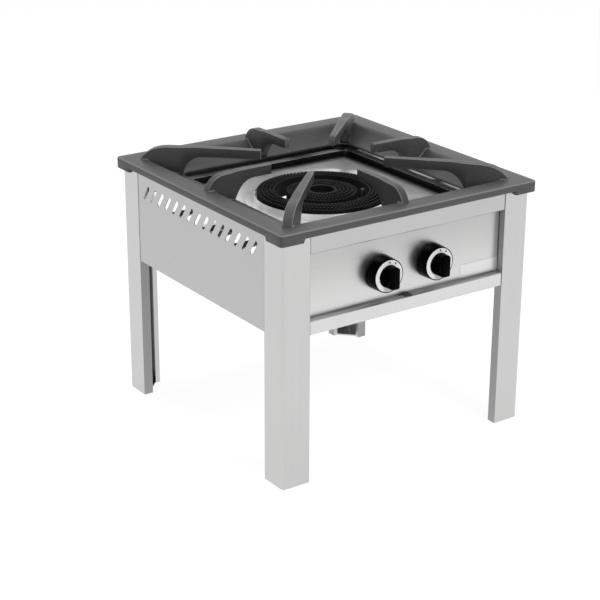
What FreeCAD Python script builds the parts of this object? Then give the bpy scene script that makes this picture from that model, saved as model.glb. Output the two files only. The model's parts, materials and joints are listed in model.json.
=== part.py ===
import FreeCAD, Part
import math
import os
import Sketcher
from FreeCAD import Placement, Rotation, Vector

# Stock pot range: one double ring gas burner under a cast pan support, on a low body of
# folded sheet with four box-angle legs.
# Frame: millimetres, +Z up, +Y to the back, the knobs face -Y, origin on the floor in the middle.

os.makedirs("parts", exist_ok=True)
doc = FreeCAD.newDocument("StockPotRange")

# --------------------------------------------------------------------------- driving sizes
SIZES = (
    ("body_width", 580, "outside of the legs, left to right"),
    ("body_depth", 580, "outside of the legs, front to back"),
    ("body_top", 498, "floor to the top edge of legs and panels"),
    ("leg_face", 60, "width of each outer face of a leg"),
    ("leg_return", 20, "depth of the folded sides of a leg"),
    ("leg_lip", 10, "width of the inner lips of a leg"),
    ("leg_sheet", 1.5, "sheet of the legs"),
    ("leg_bend", 8, "outside radius of the corner bend of a leg"),
    ("foot_plate", 3, "thickness of the plate that closes a leg"),
    ("seam", 0.5, "gap between a panel and the leg beside it"),
    ("panel_sheet", 1.2, "sheet of the panels and rails"),
    ("panel_bend", 2, "outside radius of the panel folds"),
    ("panel_fold", 16, "depth of the folded edges of the side panels"),
    ("skirt_bottom", 300, "floor to the lower edge of panels and lower rails"),
    ("lower_rail", 27.5, "height of the lower rails"),
    ("lower_rail_fold", 25, "depth of the lower rails"),
    ("upper_rail", 41, "height of the front upper rail"),
    ("rear_rail", 73, "height of the rear upper rail"),
    ("recess", 15, "control panel behind the face of the rails"),
    ("control_gap", 2, "control panel above the lower rail"),
    ("control_overlap", 13, "control panel hidden behind the upper rail"),
    ("control_fold", 8, "depth of the folded edges of the control panel"),
    ("slot_count", 15, "air slots in each side panel"),
    ("slot_pitch", 28, "spacing of the air slots"),
    ("slot_length", 35, "air slot, end to end"),
    ("slot_width", 8.5, "air slot, across"),
    ("slot_lean", 35.5, "lean of the air slots from upright, in degrees"),
    ("slot_level", 454.5, "floor to the middle of the air slots"),
    ("bolt_size", 6, "thread diameter of the frame bolts"),
    ("bolt_head", 10, "across the flats of the frame bolts"),
    ("bolt_drop", 28, "upper frame bolts below the top of the body"),
    ("bolt_rise", 14, "lower frame bolts above the skirt's lower edge"),
    ("bolt_depth", 8, "frame bolts behind the outer faces"),
    ("bolt_fit", 0.1, "clearance round bolts, screws and pressed-in pieces"),
    ("grate_overhang", 10, "pan support outside the legs, all round"),
    ("grate_radius", 8, "outer corners of the pan support"),
    ("grate_rim_thick", 9, "rim plate of the pan support"),
    ("grate_rim", 44, "flat rim of the pan support"),
    ("grate_skirt", 14, "depth of the pan support's side skirt"),
    ("grate_wall", 8, "thickness of the side skirt"),
    ("grate_pad", 22, "depth of the skirt at the four corners"),
    ("grate_pad_length", 49, "length of the deep skirt along each side"),
    ("grate_pad_slope", 3.5, "slope of the deep skirt's ends"),
    ("grate_mouth", 410, "square opening at the foot of the cove"),
    ("grate_mouth_radius", 20, "corners of that opening"),
    ("grate_cove", 27, "drop of the cove from rim to opening"),
    ("grate_cove_wall", 4, "thickness of the cove"),
    ("finger_rise", 31, "flat of the fingers above the rim"),
    ("finger_hump", 3, "hump above the flat of the fingers"),
    ("finger_tip_radius", 122, "burner axis to the finger tips"),
    ("finger_tip_thick", 17, "height of a finger at its tip"),
    ("finger_root_width", 19, "width of a finger over the rim"),
    ("finger_tip_width", 14, "width of a finger at its tip"),
    ("finger_seat", 22, "how far a finger reaches out over the rim"),
    ("finger_arch", 45, "reach of the arch under a finger"),
    ("finger_foot", 4, "foot of a finger outside the opening"),
    ("tray_level", 457, "floor to the lip of the spill tray"),
    ("tray_margin", 52, "lip of the spill tray inside the outer faces of the legs"),
    ("tray_lip", 16, "width of the tray's lip"),
    ("tray_depth", 11, "lip to the floor of the tray"),
    ("tray_sheet", 1.2, "sheet of the tray"),
    ("tray_corner", 26, "corners of the tray"),
    ("tray_dish", 4, "depth of the dish round the burner"),
    ("tray_dish_radius", 200, "outer radius of the dish"),
    ("collar_gap", 6, "raised collar outside the outer burner"),
    ("collar_height", 9, "collar above the floor of the tray"),
    ("dish_flat", 16, "flat of the dish outside the collar"),
    ("tray_screw_edge", 18, "tray screws from the outer edges of the tray"),
    ("screw_head", 4, "head radius of the tray screws"),
    ("screw_radius", 2, "shank radius of the tray screws"),
    ("bracket_sheet", 1.5, "sheet of the tray brackets"),
    ("bracket_lap", 30, "reach of a tray bracket under the lip of the tray"),
    ("bracket_clear", 1, "clearance of a tray bracket round the wall of the tray"),
    ("bracket_tab", 14, "height of the bracket's tabs"),
    ("ring_outer", 130, "outer radius of the outer burner"),
    ("ring_inner", 95, "inner radius of the outer burner"),
    ("ring_base", 430, "floor to the underside of the outer burner"),
    ("ring_split", 453, "floor to the seat of the outer crown"),
    ("ring_top", 465, "floor to the top of the outer crown"),
    ("cup_outer", 71, "outer radius of the inner burner"),
    ("cup_bore", 25, "radius of the hole through the inner burner"),
    ("cup_base", 430, "floor to the underside of the inner burner"),
    ("cup_split", 453, "floor to the seat of the inner crown"),
    ("cup_top", 465, "floor to the top of the inner crown"),
    ("casting_wall", 4, "walls of the burner castings"),
    ("casting_floor", 3, "floors of the burner castings"),
    ("crown_ridge", 5.5, "width of a ridge of the crowns"),
    ("crown_groove", 2.5, "width of the groove between two ridges"),
    ("crown_groove_depth", 2, "grooves below the outermost ridge"),
    ("crown_step", 3, "outermost ridge below the crown's top"),
    ("spigot", 3, "depth of a crown's spigot"),
    ("crown_port", 2.6, "width of a flame port"),
    ("crown_port_depth", 5, "floor of the flame ports below the crown's top"),
    ("crown_port_swirl", 24, "lean of the flame ports from the radius, in degrees"),
    ("outer_ports", 26, "flame ports round the outer crown"),
    ("inner_ports", 14, "flame ports round the inner crown"),
    ("crown_fit", 0.4, "clearance of a crown's spigot in its channel"),
    ("bar_width", 30, "burner bars, across"),
    ("bar_sheet", 3, "thickness of the burner bars"),
    ("bar_offset", 112, "outer burner bars from the middle"),
    ("bar_tab", 25, "height of the bars' end tabs"),
    ("boss_spread", 45, "burner bolts from the middle of a bar"),
    ("boss_radius", 6, "radius of the bosses for the burner bolts"),
    ("tube_level", 412, "floor to the axis of the mixing tubes"),
    ("tube_behind", 30, "front end of the mixing tubes behind the gas pipe's axis"),
    ("tube_straight", 30, "straight mouth of the mixing tubes"),
    ("tube_funnel", 35, "length of the mixing tubes' funnel"),
    ("jet_hexagon", 12, "across the flats of the injectors"),
    ("jet_head", 8, "length of the injectors' hexagon"),
    ("jet_radius", 5, "radius of the injectors' nozzle"),
    ("jet_reach", 5, "nozzle behind the tube's front wall"),
    ("tube_mouth", 20, "outer radius of the mixing tubes at the mouth"),
    ("tube_throat", 13, "outer radius of the mixing tubes at the throat"),
    ("tube_end", 15, "outer radius of the mixing tubes at the burner"),
    ("tube_wall", 3, "wall of the mixing tubes"),
    ("outer_tube_x", 106, "outer burner's mixing tube from the middle"),
    ("outer_tube_y", 35, "outer burner's elbow in front of the middle"),
    ("inner_tube_x", 20, "inner burner's mixing tube from the middle"),
    ("inner_tube_y", 44, "inner burner's elbow in front of the middle"),
    ("window_width", 14, "air window of the mixing tubes, along the tube"),
    ("window_height", 20, "air window of the mixing tubes, across"),
    ("shutter_length", 24, "air shutter, end to end"),
    ("shutter_wall", 1.5, "wall of an air shutter"),
    ("shutter_fit", 0.08, "clearance of an air shutter on its tube"),
    ("thumb_radius", 4, "radius of the shutters' thumb screw"),
    ("thumb_length", 8, "length of the shutters' thumb screw"),
    ("knob_pitch", 120, "between the two knob axes"),
    ("knob_level", 384, "floor to the knob axes"),
    ("knob_gap", 5, "knob in front of the control panel"),
    ("knob_skirt", 22, "length of the knob's skirt"),
    ("knob_radius", 33, "radius of the knob's skirt"),
    ("knob_flare", 1.5, "how much wider the skirt is at its back"),
    ("dial_outer", 31, "outer radius of the dial ring"),
    ("dial_inner", 22, "inner radius of the dial ring"),
    ("dial_thick", 1, "thickness of the dial ring"),
    ("grip_length", 42, "length of the knob's grip bar"),
    ("grip_width", 19, "width of the knob's grip bar"),
    ("grip_height", 23, "grip bar in front of the dial ring"),
    ("grip_round", 4, "upright corners of the grip"),
    ("grip_soft", 2.5, "front edges of the grip"),
    ("knob_boss", 1.5, "boss in front of the dial ring"),
    ("knob_hub", 9, "radius of the knob's hub"),
    ("knob_shell", 2.5, "wall of the knob's skirt"),
    ("knob_web", 6, "thickness of the knob's front"),
    ("knob_tip", 2, "end of the spindle behind the dial ring's face"),
    ("knob_travel", 4, "how far a knob pushes in"),
    ("spindle_radius", 4, "radius of the tap spindles"),
    ("spindle_fit", 0.08, "running clearance of spindle, cap and plug"),
    ("panel_hole", 7, "radius of the holes for the spindles"),
    ("tap_radius", 14, "radius of a tap body"),
    ("tap_behind", 7, "front end of a tap behind the face of the control panel"),
    ("tap_length", 46, "length of a tap body"),
    ("valve_radius", 11, "radius of a tap's safety valve"),
    ("valve_length", 22, "length of a tap's safety valve"),
    ("tap_outlet", 15, "tap axis to the end of its outlet"),
    ("tap_cap", 3, "thickness of a tap's front cap"),
    ("stub_radius", 7, "radius of a tap's inlet and outlet stubs"),
    ("stub_nut", 18, "across the flats of the inlet nut"),
    ("stub_nut_height", 5, "height of the tap's nuts"),
    ("gas_bore", 3.5, "radius of the gas passages"),
    ("pilot_block", 12, "block for the pilot outlet"),
    ("plug_large", 9, "large radius of the tap plug"),
    ("plug_small", 7, "small radius of the tap plug"),
    ("plug_length", 30, "length of the tap plug"),
    ("plug_fit", 0.08, "running clearance of a plug in its tap"),
    ("tang", 5, "square end of a spindle"),
    ("socket_depth", 16, "square socket in a plug"),
    ("pipe_radius", 10.65, "outer radius of the gas pipe"),
    ("pipe_wall", 2.6, "wall of the gas pipe"),
    ("pipe_level", 350, "floor to the axis of the gas pipe"),
    ("pipe_behind", 23, "axis of the gas pipe behind the front end of the taps"),
    ("pipe_inset", 90, "rear run of the gas pipe inside the right face"),
    ("pipe_left", 92, "left end of the gas pipe from the middle"),
    ("pipe_bend", 30, "bend radius of the gas pipe"),
    ("socket_radius", 9, "radius of the pipe's sockets"),
    ("socket_height", 14, "pipe axis to the top of its sockets"),
    ("cap_wall", 3, "wall of the pipe's end cap"),
    ("cap_end", 4, "end wall of the pipe's end cap"),
    ("cap_grip", 10, "how far the cap covers the pipe"),
    ("clip_width", 16, "width of the pipe clips"),
    ("clip_wall", 3, "wall of the pipe clips"),
    ("clip_sheet", 1.5, "foot of the pipe clips"),
    ("inlet_hexagon", 27, "across the flats of the gas inlet"),
    ("inlet_radius", 10.48, "outer radius of the gas inlet's thread"),
    ("inlet_thread", 16, "length of the gas inlet's thread"),
    ("inlet_reach", 25, "gas inlet behind the pan support"),
    ("feed_radius", 4, "outer radius of the burner feed tubes"),
    ("feed_bend", 8, "bend radius of the burner feed tubes"),
    ("feed_wall", 1, "wall of the burner feed tubes"),
    ("pilot_x", 80, "pilot from the middle, to the right"),
    ("pilot_y", 30, "pilot in front of the middle"),
    ("probe_x", 60, "thermocouple from the middle, to the right"),
    ("probe_y", 54, "thermocouple in front of the middle"),
    ("probe_top", 466, "floor to the tip of the thermocouple"),
    ("probe_radius", 2, "radius of the thermocouple"),
    ("lead_radius", 1.5, "radius of the thermocouple's lead"),
    ("pilot_radius", 4, "radius of the pilot burner"),
    ("pilot_top", 458, "floor to the top of the pilot burner"),
    ("pilot_nut", 6, "height of the nuts under the pilot bracket"),
    ("pilot_tube", 3, "outer radius of the pilot's gas tube"),
    ("pilot_plate", 2, "thickness of the pilot bracket"),
    ("plate_width", 94, "bare plate on the control panel, width"),
    ("plate_height", 27, "bare plate on the control panel, height"),
    ("plate_margin", 1, "bare plate from the panel's right and lower edge"),
)

sheet = doc.addObject("Spreadsheet::Sheet", "Sizes")
for row, (alias, number, note) in enumerate(SIZES, start=1):
    sheet.set(f"A{row}", alias)
    sheet.set(f"B{row}", str(number))
    sheet.set(f"C{row}", note)
    sheet.setAlias(f"B{row}", alias)
doc.recompute()


class Dim:
    """A size that knows both its sheet expression and its present value."""

    def __init__(self, text, value):
        self.text = text
        self.value = float(value)

    def __float__(self):
        return self.value

    def _with(self, sign, other, swap=False):
        other = other if isinstance(other, Dim) else Dim(repr(other), other)
        left, right = (other, self) if swap else (self, other)
        results = {
            "+": lambda: left.value + right.value,
            "-": lambda: left.value - right.value,
            "*": lambda: left.value * right.value,
            "/": lambda: left.value / right.value,
        }
        return Dim(f"({left.text} {sign} {right.text})", results[sign]())

    def __add__(self, other):
        return self._with("+", other)

    def __radd__(self, other):
        return self._with("+", other, True)

    def __sub__(self, other):
        return self._with("-", other)

    def __rsub__(self, other):
        return self._with("-", other, True)

    def __mul__(self, other):
        return self._with("*", other)

    def __rmul__(self, other):
        return self._with("*", other, True)

    def __truediv__(self, other):
        return self._with("/", other)

    def __neg__(self):
        return self._with("*", -1)


class Sizes:
    """Every aliased cell of the sheet as a Dim."""

    def __getattr__(self, alias):
        return Dim(f"Sizes.{alias}", sheet.get(alias))


size = Sizes()
NONE = Dim("0", 0)
DIAGONAL = math.sqrt(2)
UPRIGHT = Rotation()
ALONG_X = Rotation(Vector(0, 1, 0), 90)
ALONG_Y = Rotation(Vector(1, 0, 0), -90)

half_width = size.body_width / 2
half_depth = size.body_depth / 2
grate_half = half_width + size.grate_overhang
grate_deep = half_depth + size.grate_overhang
tray_half = half_width - size.tray_margin
tray_deep = half_depth - size.tray_margin
collar_radius = size.ring_outer + size.collar_gap
screw_x = tray_half - size.tray_screw_edge
screw_y = tray_deep - size.tray_screw_edge
rim_top = size.body_top + size.grate_rim_thick
rail_top = size.skirt_bottom + size.lower_rail
control_face = half_depth - size.recess
tap_front = control_face - size.tap_behind
tap_mid = tap_front - size.pipe_behind
tube_front = tap_mid - size.tube_behind
pipe_side = half_width - size.pipe_inset
panel_inside = half_width - size.panel_sheet
knob_x = size.knob_pitch / 2
dial_face = control_face + size.knob_gap + size.knob_skirt
bolt_low = size.skirt_bottom + size.bolt_rise
bolt_high = size.body_top - size.bolt_drop

NODES = []


# --------------------------------------------------------------------------- building helpers
def node(obj, label):
    """Names a finished sub-part and lists it for export."""
    obj.Label = label
    NODES.append(obj)
    return obj


def put(obj, x=NONE, y=NONE, z=NONE, turn=UPRIGHT):
    """Places an object, with each coordinate bound to the sheet."""
    obj.Placement = Placement(Vector(float(x), float(y), float(z)), turn)
    for axis, dim in (("x", x), ("y", y), ("z", z)):
        if dim is not NONE:
            obj.setExpression(f"Placement.Base.{axis}", dim.text)
    return obj


def sized(kind, name, **sizes):
    """A primitive whose properties are bound to the sheet."""
    obj = doc.addObject(kind, name)
    for prop, dim in sizes.items():
        obj.setExpression(prop, dim.text)
    return obj


def box(name, length, width, height, x, y, z):
    return put(sized("Part::Box", name, Length=length, Width=width, Height=height), x, y, z)


def cylinder(name, radius, height, x=NONE, y=NONE, z=NONE, turn=UPRIGHT):
    return put(sized("Part::Cylinder", name, Radius=radius, Height=height), x, y, z, turn)


def hexagon(name, across_flats, height, x, y, z, turn=UPRIGHT):
    prism = sized("Part::Prism", name, Circumradius=across_flats / math.sqrt(3), Height=height)
    prism.Polygon = 6
    return put(prism, x, y, z, turn)


def fused(name, *objects):
    obj = doc.addObject("Part::MultiFuse", name)
    obj.Shapes = list(objects)
    return obj


def cut(name, base, *tools):
    obj = doc.addObject("Part::Cut", name)
    obj.Base = base
    obj.Tool = tools[0] if len(tools) == 1 else fused(name + "_tools", *tools)
    return obj


def group(name, objects):
    obj = doc.addObject("Part::Compound", name)
    obj.Links = list(objects)
    return obj


def shaped(label, shape):
    """A sub-part whose shape is worked out from the sheet in code."""
    obj = doc.addObject("Part::Feature", label)
    obj.Shape = shape
    return node(obj, label)


def new_body(label):
    return node(doc.addObject("PartDesign::Body", label), label)


def sketch_on(body, name, plane, offset=NONE):
    """A sketch on one of the body's own origin planes, moved along its normal."""
    sketch = body.newObject("Sketcher::SketchObject", name)
    support = [item for item in body.Origin.OriginFeatures if item.Role == plane][0]
    sketch.AttachmentSupport = [(support, "")]
    sketch.MapMode = "FlatFace"
    if offset is not NONE:
        sketch.AttachmentOffset = Placement(Vector(0, 0, float(offset)), UPRIGHT)
        sketch.setExpression("AttachmentOffset.Base.z", offset.text)
    return sketch


def hold(sketch, geometry, point, x, y):
    """Holds a point of the sketch at its two distances from the origin."""
    for kind, dim in (("DistanceX", x), ("DistanceY", y)):
        index = sketch.addConstraint(
            Sketcher.Constraint(kind, -1, 1, geometry, point, float(dim)))
        sketch.setExpression(f"Constraints[{index}]", dim.text)


def outline(sketch, corners):
    """Straight edges through the corners, each corner held by its distances."""
    first = sketch.GeometryCount
    points = [Vector(float(x), float(y), 0) for x, y in corners]
    count = len(points)
    for i, point in enumerate(points):
        sketch.addGeometry(Part.LineSegment(point, points[(i + 1) % count]), False)
    for i in range(count):
        following = first + (i + 1) % count
        sketch.addConstraint(Sketcher.Constraint("Coincident", first + i, 2, following, 1))
    for i, (x, y) in enumerate(corners):
        hold(sketch, first + i, 1, x, y)


def rectangle(sketch, x0, y0, x1, y1):
    outline(sketch, ((x0, y0), (x1, y0), (x1, y1), (x0, y1)))


def round_hole(sketch, x, y, radius):
    circle = sketch.addGeometry(
        Part.Circle(Vector(float(x), float(y), 0), Vector(0, 0, 1), float(radius)), False)
    hold(sketch, circle, 3, x, y)
    index = sketch.addConstraint(Sketcher.Constraint("Radius", circle, float(radius)))
    sketch.setExpression(f"Constraints[{index}]", radius.text)


def slot(sketch, x0, y0, x1, y1, radius):
    """A round-ended slot between two end centres."""
    start = Vector(float(x0), float(y0), 0)
    end = Vector(float(x1), float(y1), 0)
    along = (end - start).normalize()
    side = Vector(-along.y, along.x, 0) * float(radius)
    heading = math.atan2(along.y, along.x)
    quarter = math.pi / 2
    up = Vector(0, 0, 1)
    lower = sketch.addGeometry(Part.ArcOfCircle(
        Part.Circle(start, up, float(radius)), heading + quarter, heading + 3 * quarter), False)
    upper = sketch.addGeometry(Part.ArcOfCircle(
        Part.Circle(end, up, float(radius)), heading - quarter, heading + quarter), False)
    left = sketch.addGeometry(Part.LineSegment(end + side, start + side), False)
    right = sketch.addGeometry(Part.LineSegment(start - side, end - side), False)
    for first, first_end, second, second_end in (
            (upper, 2, left, 1), (left, 2, lower, 1), (lower, 2, right, 1), (right, 2, upper, 1)):
        sketch.addConstraint(
            Sketcher.Constraint("Tangent", first, first_end, second, second_end))
    sketch.addConstraint(Sketcher.Constraint("Equal", lower, upper))
    hold(sketch, lower, 3, x0, y0)
    hold(sketch, upper, 3, x1, y1)
    index = sketch.addConstraint(Sketcher.Constraint("Radius", lower, float(radius)))
    sketch.setExpression(f"Constraints[{index}]", radius.text)


def soft_rectangle(sketch, half_x, half_y, radius):
    """A rectangle with rounded corners about the origin."""
    quadrants = ((1, 1), (-1, 1), (-1, -1), (1, -1))
    up, quarter = Vector(0, 0, 1), math.pi / 2
    arcs, lines = [], []
    for i, (sx, sy) in enumerate(quadrants):
        centre = Vector(float(half_x - radius) * sx, float(half_y - radius) * sy, 0)
        circle = Part.Circle(centre, up, float(radius))
        arcs.append(sketch.addGeometry(
            Part.ArcOfCircle(circle, quarter * i, quarter * (i + 1)), False))
    starts = [sketch.Geometry[arc].StartPoint for arc in arcs]
    ends = [sketch.Geometry[arc].EndPoint for arc in arcs]
    for i in range(4):
        lines.append(sketch.addGeometry(Part.LineSegment(ends[i], starts[(i + 1) % 4]), False))
    for i in range(4):
        following = arcs[(i + 1) % 4]
        sketch.addConstraint(Sketcher.Constraint("Tangent", arcs[i], 2, lines[i], 1))
        sketch.addConstraint(Sketcher.Constraint("Tangent", lines[i], 2, following, 1))
    for arc, (sx, sy) in zip(arcs, quadrants):
        hold(sketch, arc, 3, (half_x - radius) * sx, (half_y - radius) * sy)
    index = sketch.addConstraint(Sketcher.Constraint("Radius", arcs[0], float(radius)))
    sketch.setExpression(f"Constraints[{index}]", radius.text)


def pad(body, name, sketch, length, reverse=False):
    feature = body.newObject("PartDesign::Pad", name)
    feature.Profile = sketch
    feature.Reversed = reverse
    feature.setExpression("Length", length.text)
    body.Tip = feature
    doc.recompute()
    return feature


def pocket(body, name, sketch, length, reverse=False):
    """A pocket that is known to remove material."""
    before = body.Tip.Shape.Volume
    feature = body.newObject("PartDesign::Pocket", name)
    feature.Profile = sketch
    feature.Reversed = reverse
    feature.setExpression("Length", length.text)
    body.Tip = feature
    doc.recompute()
    if feature.Shape.Volume > before - 1e-3:
        raise RuntimeError(f"{name} cuts nothing")
    return feature


def rounded(body, name, radius, wanted):
    """Rounds the edges of the body's tip that the test picks."""
    base = body.Tip
    names = [f"Edge{i}" for i, edge in enumerate(base.Shape.Edges, start=1) if wanted(edge)]
    feature = body.newObject("PartDesign::Fillet", name)
    feature.Base = (base, names)
    feature.setExpression("Radius", radius.text)
    body.Tip = feature
    doc.recompute()
    return feature


def upright_at(x, y):
    """Test for an edge parallel to Z at one place."""
    def wanted(edge):
        ends = [vertex.Point for vertex in edge.Vertexes]
        return len(ends) == 2 and all(
            abs(p.x - float(x)) < 0.01 and abs(p.y - float(y)) < 0.01 for p in ends)
    return wanted


# --------------------------------------------------------------------------- legs
def corner_places():
    """Each corner's name, turn and outer corner; local +X and +Y run along the two faces."""
    return (
        ("front_left", 0, -half_width, -half_depth),
        ("front_right", 90, half_width, -half_depth),
        ("rear_right", 180, half_width, half_depth),
        ("rear_left", 270, -half_width, half_depth),
    )


def turned(degrees):
    return Rotation(Vector(0, 0, 1), degrees)


def leg(place, degrees, x, y):
    """Folded box angle: two faces, their returns and lips, open at the inner corner."""
    face, deep, lip, sheet_t = size.leg_face, size.leg_return, size.leg_lip, size.leg_sheet
    inner = face - sheet_t
    half_profile = (
        (face, NONE), (face, deep), (face - lip, deep),
        (face - lip, deep - sheet_t), (inner, deep - sheet_t), (inner, sheet_t))
    mirrored = [(b, a) for a, b in reversed(half_profile)]
    body = new_body(f"leg_{place}")
    profile = sketch_on(body, f"leg_profile_{place}", "XY_Plane")
    outline(profile, ((NONE, NONE), *half_profile, (sheet_t, sheet_t), *mirrored))
    pad(body, f"leg_length_{place}", profile, size.body_top)
    rounded(body, f"leg_inner_bend_{place}", size.leg_bend - sheet_t,
            upright_at(sheet_t, sheet_t))
    rounded(body, f"leg_outer_bend_{place}", size.leg_bend, upright_at(NONE, NONE))
    for plane, offset, reverse in (("YZ_Plane", face, False), ("XZ_Plane", -face, True)):
        holes = sketch_on(body, f"leg_holes_{place}_{plane}", plane, offset)
        for level in (bolt_low, bolt_high):
            round_hole(holes, size.bolt_depth, level, size.bolt_size / 2 + size.bolt_fit)
        pocket(body, f"leg_drilling_{place}_{plane}", holes, sheet_t * 2, reverse)
    return put(body, x, y, NONE, turned(degrees))


def leg_foot(place, degrees, x, y):
    """Plate that closes the foot of a leg, fitted inside its faces, returns and lips."""
    face, deep, lip, sheet_t = size.leg_face, size.leg_return, size.leg_lip, size.leg_sheet
    inner = face - sheet_t
    ledge = deep - sheet_t
    half_profile = ((inner, sheet_t), (inner, ledge), (face - lip, ledge), (face - lip, deep))
    mirrored = [(b, a) for a, b in reversed(half_profile)]
    body = new_body(f"leg_foot_{place}")
    profile = sketch_on(body, f"foot_profile_{place}", "XY_Plane")
    outline(profile, ((sheet_t, sheet_t), *half_profile, *mirrored))
    pad(body, f"foot_thickness_{place}", profile, size.foot_plate)
    rounded(body, f"foot_corner_{place}", size.leg_bend, upright_at(sheet_t, sheet_t))
    return put(body, x, y, NONE, turned(degrees))


def tray_bracket(place, degrees, x, y):
    """Shelf under one corner of the spill tray, with two tabs on the lips of the leg."""
    deep, face, lip = size.leg_return, size.leg_face, size.leg_lip
    clear = size.recess + size.control_fold + 2
    far = size.tray_margin + size.bracket_lap
    bend = size.tray_margin + size.tray_lip + size.tray_corner
    bevel = bend * 2 - (size.tray_corner + size.bracket_clear) * DIAGONAL - far
    label = f"tray_bracket_{place}"
    body = new_body(label)
    shelf = sketch_on(body, f"shelf_profile_{place}", "XY_Plane")
    outline(shelf, ((deep, deep), (face, deep), (face, clear), (far, clear), (far, bevel),
                    (bevel, far), (clear, far), (clear, face), (deep, face)))
    pad(body, f"shelf_{place}", shelf, size.bracket_sheet)
    tabs = sketch_on(body, f"tab_profile_{place}", "XY_Plane")
    rectangle(tabs, face - lip, deep, face, deep + size.bracket_sheet)
    rectangle(tabs, deep, face - lip, deep + size.bracket_sheet, face)
    pad(body, f"tabs_{place}", tabs, size.bracket_tab, reverse=True)
    hole = sketch_on(body, f"screw_place_{place}", "XY_Plane", size.bracket_sheet)
    corner_to_screw = size.tray_margin + size.tray_screw_edge
    round_hole(hole, corner_to_screw, corner_to_screw, size.screw_radius + size.bolt_fit)
    pocket(body, f"screw_hole_{place}", hole, size.bracket_sheet * 2)
    level = size.tray_level - size.tray_sheet - size.bracket_sheet
    return put(body, x, y, level, turned(degrees))


for corner in corner_places():
    leg(*corner)
    leg_foot(*corner)
    tray_bracket(*corner)


# --------------------------------------------------------------------------- folded panels
def folded_panel(label, width, height, fold, bolts=()):
    """Shallow tray of sheet: face at local y = 0, its four edges folded back to +Y."""
    sheet_t = size.panel_sheet
    body = new_body(label)
    face = sketch_on(body, f"{label}_face", "XZ_Plane")
    rectangle(face, -width / 2, NONE, width / 2, height)
    pad(body, f"{label}_block", face, fold, reverse=True)
    rounded(body, f"{label}_bends", size.panel_bend,
            lambda edge: all(abs(vertex.Point.y) < 0.01 for vertex in edge.Vertexes))
    hollow = sketch_on(body, f"{label}_hollow", "XZ_Plane", -sheet_t)
    rectangle(hollow, -width / 2 + sheet_t, sheet_t, width / 2 - sheet_t, height - sheet_t)
    pocket(body, f"{label}_inside", hollow, fold - sheet_t)
    if bolts:
        holes = sketch_on(body, f"{label}_holes", "YZ_Plane", width / 2)
        for level in bolts:
            round_hole(holes, size.bolt_depth, level, size.bolt_size / 2 + size.bolt_fit)
        pocket(body, f"{label}_drilling", holes, width)
    return body


def side_panel(side, degrees, x, lean):
    """Side panel with a row of slanted air slots below the pan support."""
    label = f"side_panel_{side}"
    width = size.body_depth - 2 * size.leg_face - 2 * size.seam
    body = folded_panel(label, width, size.body_top - size.skirt_bottom, size.panel_fold,
                        (bolt_low - size.skirt_bottom, bolt_high - size.skirt_bottom))
    angle = math.radians(float(size.slot_lean))
    reach = (size.slot_length - size.slot_width) / 2
    run, rise = reach * (lean * math.sin(angle)), reach * math.cos(angle)
    first = size.slot_pitch * (size.slot_count - 1) / -2
    middle = size.slot_level - size.skirt_bottom
    profile = sketch_on(body, f"{label}_slot", "XZ_Plane")
    slot(profile, first - run, middle - rise, first + run, middle + rise, size.slot_width / 2)
    opening = pocket(body, f"{label}_first_slot", profile, size.panel_sheet * 2)
    row = body.newObject("PartDesign::LinearPattern", f"{label}_slots")
    row.Originals = [opening]
    row.Direction = (profile, ["H_Axis"])
    row.setExpression("Length", (size.slot_pitch * (size.slot_count - 1)).text)
    row.setExpression("Occurrences", size.slot_count.text)
    body.Tip = row
    return put(body, x, NONE, size.skirt_bottom, turned(degrees))


def rail(label, height, fold, degrees, y, level):
    """Rail across the body between two legs."""
    width = size.body_width - 2 * size.leg_face - 2 * size.seam
    bolts = [place - level for place in (bolt_low, bolt_high)
             if 0 < float(place - level) < float(height)]
    return put(folded_panel(label, width, height, fold, bolts), NONE, y, level, turned(degrees))


side_panel("left", -90, -half_width, 1)
side_panel("right", 90, half_width, -1)
upper_level = size.body_top - size.upper_rail
rail("upper_rail_front", size.upper_rail, size.recess, 0, -half_depth, upper_level)
rail("upper_rail_rear", size.rear_rail, size.recess, 180, half_depth,
     size.body_top - size.rear_rail)
rail("lower_rail_front", size.lower_rail, size.lower_rail_fold, 0, -half_depth, size.skirt_bottom)
rail("lower_rail_rear", size.lower_rail, size.lower_rail_fold, 180, half_depth, size.skirt_bottom)

control_bottom = rail_top + size.control_gap
control_width = size.body_width - 2 * size.leg_face - 2 * size.seam
control_height = upper_level + size.control_overlap - control_bottom
control_panel = folded_panel("control_panel", control_width, control_height, size.control_fold)
holes = sketch_on(control_panel, "spindle_holes", "XZ_Plane")
for side in (-1, 1):
    round_hole(holes, knob_x * side, size.knob_level - control_bottom, size.panel_hole)
pocket(control_panel, "spindle_openings", holes, size.panel_sheet * 2)
put(control_panel, NONE, -control_face, control_bottom)

bare_plate = new_body("bare_plate")
plate_face = sketch_on(bare_plate, "plate_face", "XZ_Plane")
rectangle(plate_face, NONE, NONE, size.plate_width, size.plate_height)
pad(bare_plate, "plate_thickness", plate_face, size.panel_sheet / 2)
put(bare_plate, control_width / 2 - size.plate_margin - size.plate_width, -control_face,
    control_bottom + size.plate_margin)


# --------------------------------------------------------------------------- pan support
def rounded_oblong(half_x, half_y, radius, level):
    """Wire of a rectangle with rounded corners about the Z axis."""
    straight_x, straight_y, slant = half_x - radius, half_y - radius, radius / DIAGONAL
    edges = []
    for sign in (1, -1):
        right, upper = [[Vector(x * sign, y * sign, level) for x, y in points] for points in (
            ((half_x, -straight_y), (half_x, straight_y),
             (straight_x + slant, straight_y + slant), (straight_x, half_y)),
            ((straight_x, half_y), (-straight_x, half_y),
             (-straight_x - slant, straight_y + slant), (-half_x, straight_y)))]
        for points in (right, upper):
            edges.append(Part.LineSegment(points[0], points[1]).toShape())
            edges.append(Part.Arc(points[1], points[2], points[3]).toShape())
    return Part.Wire(edges)


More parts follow.
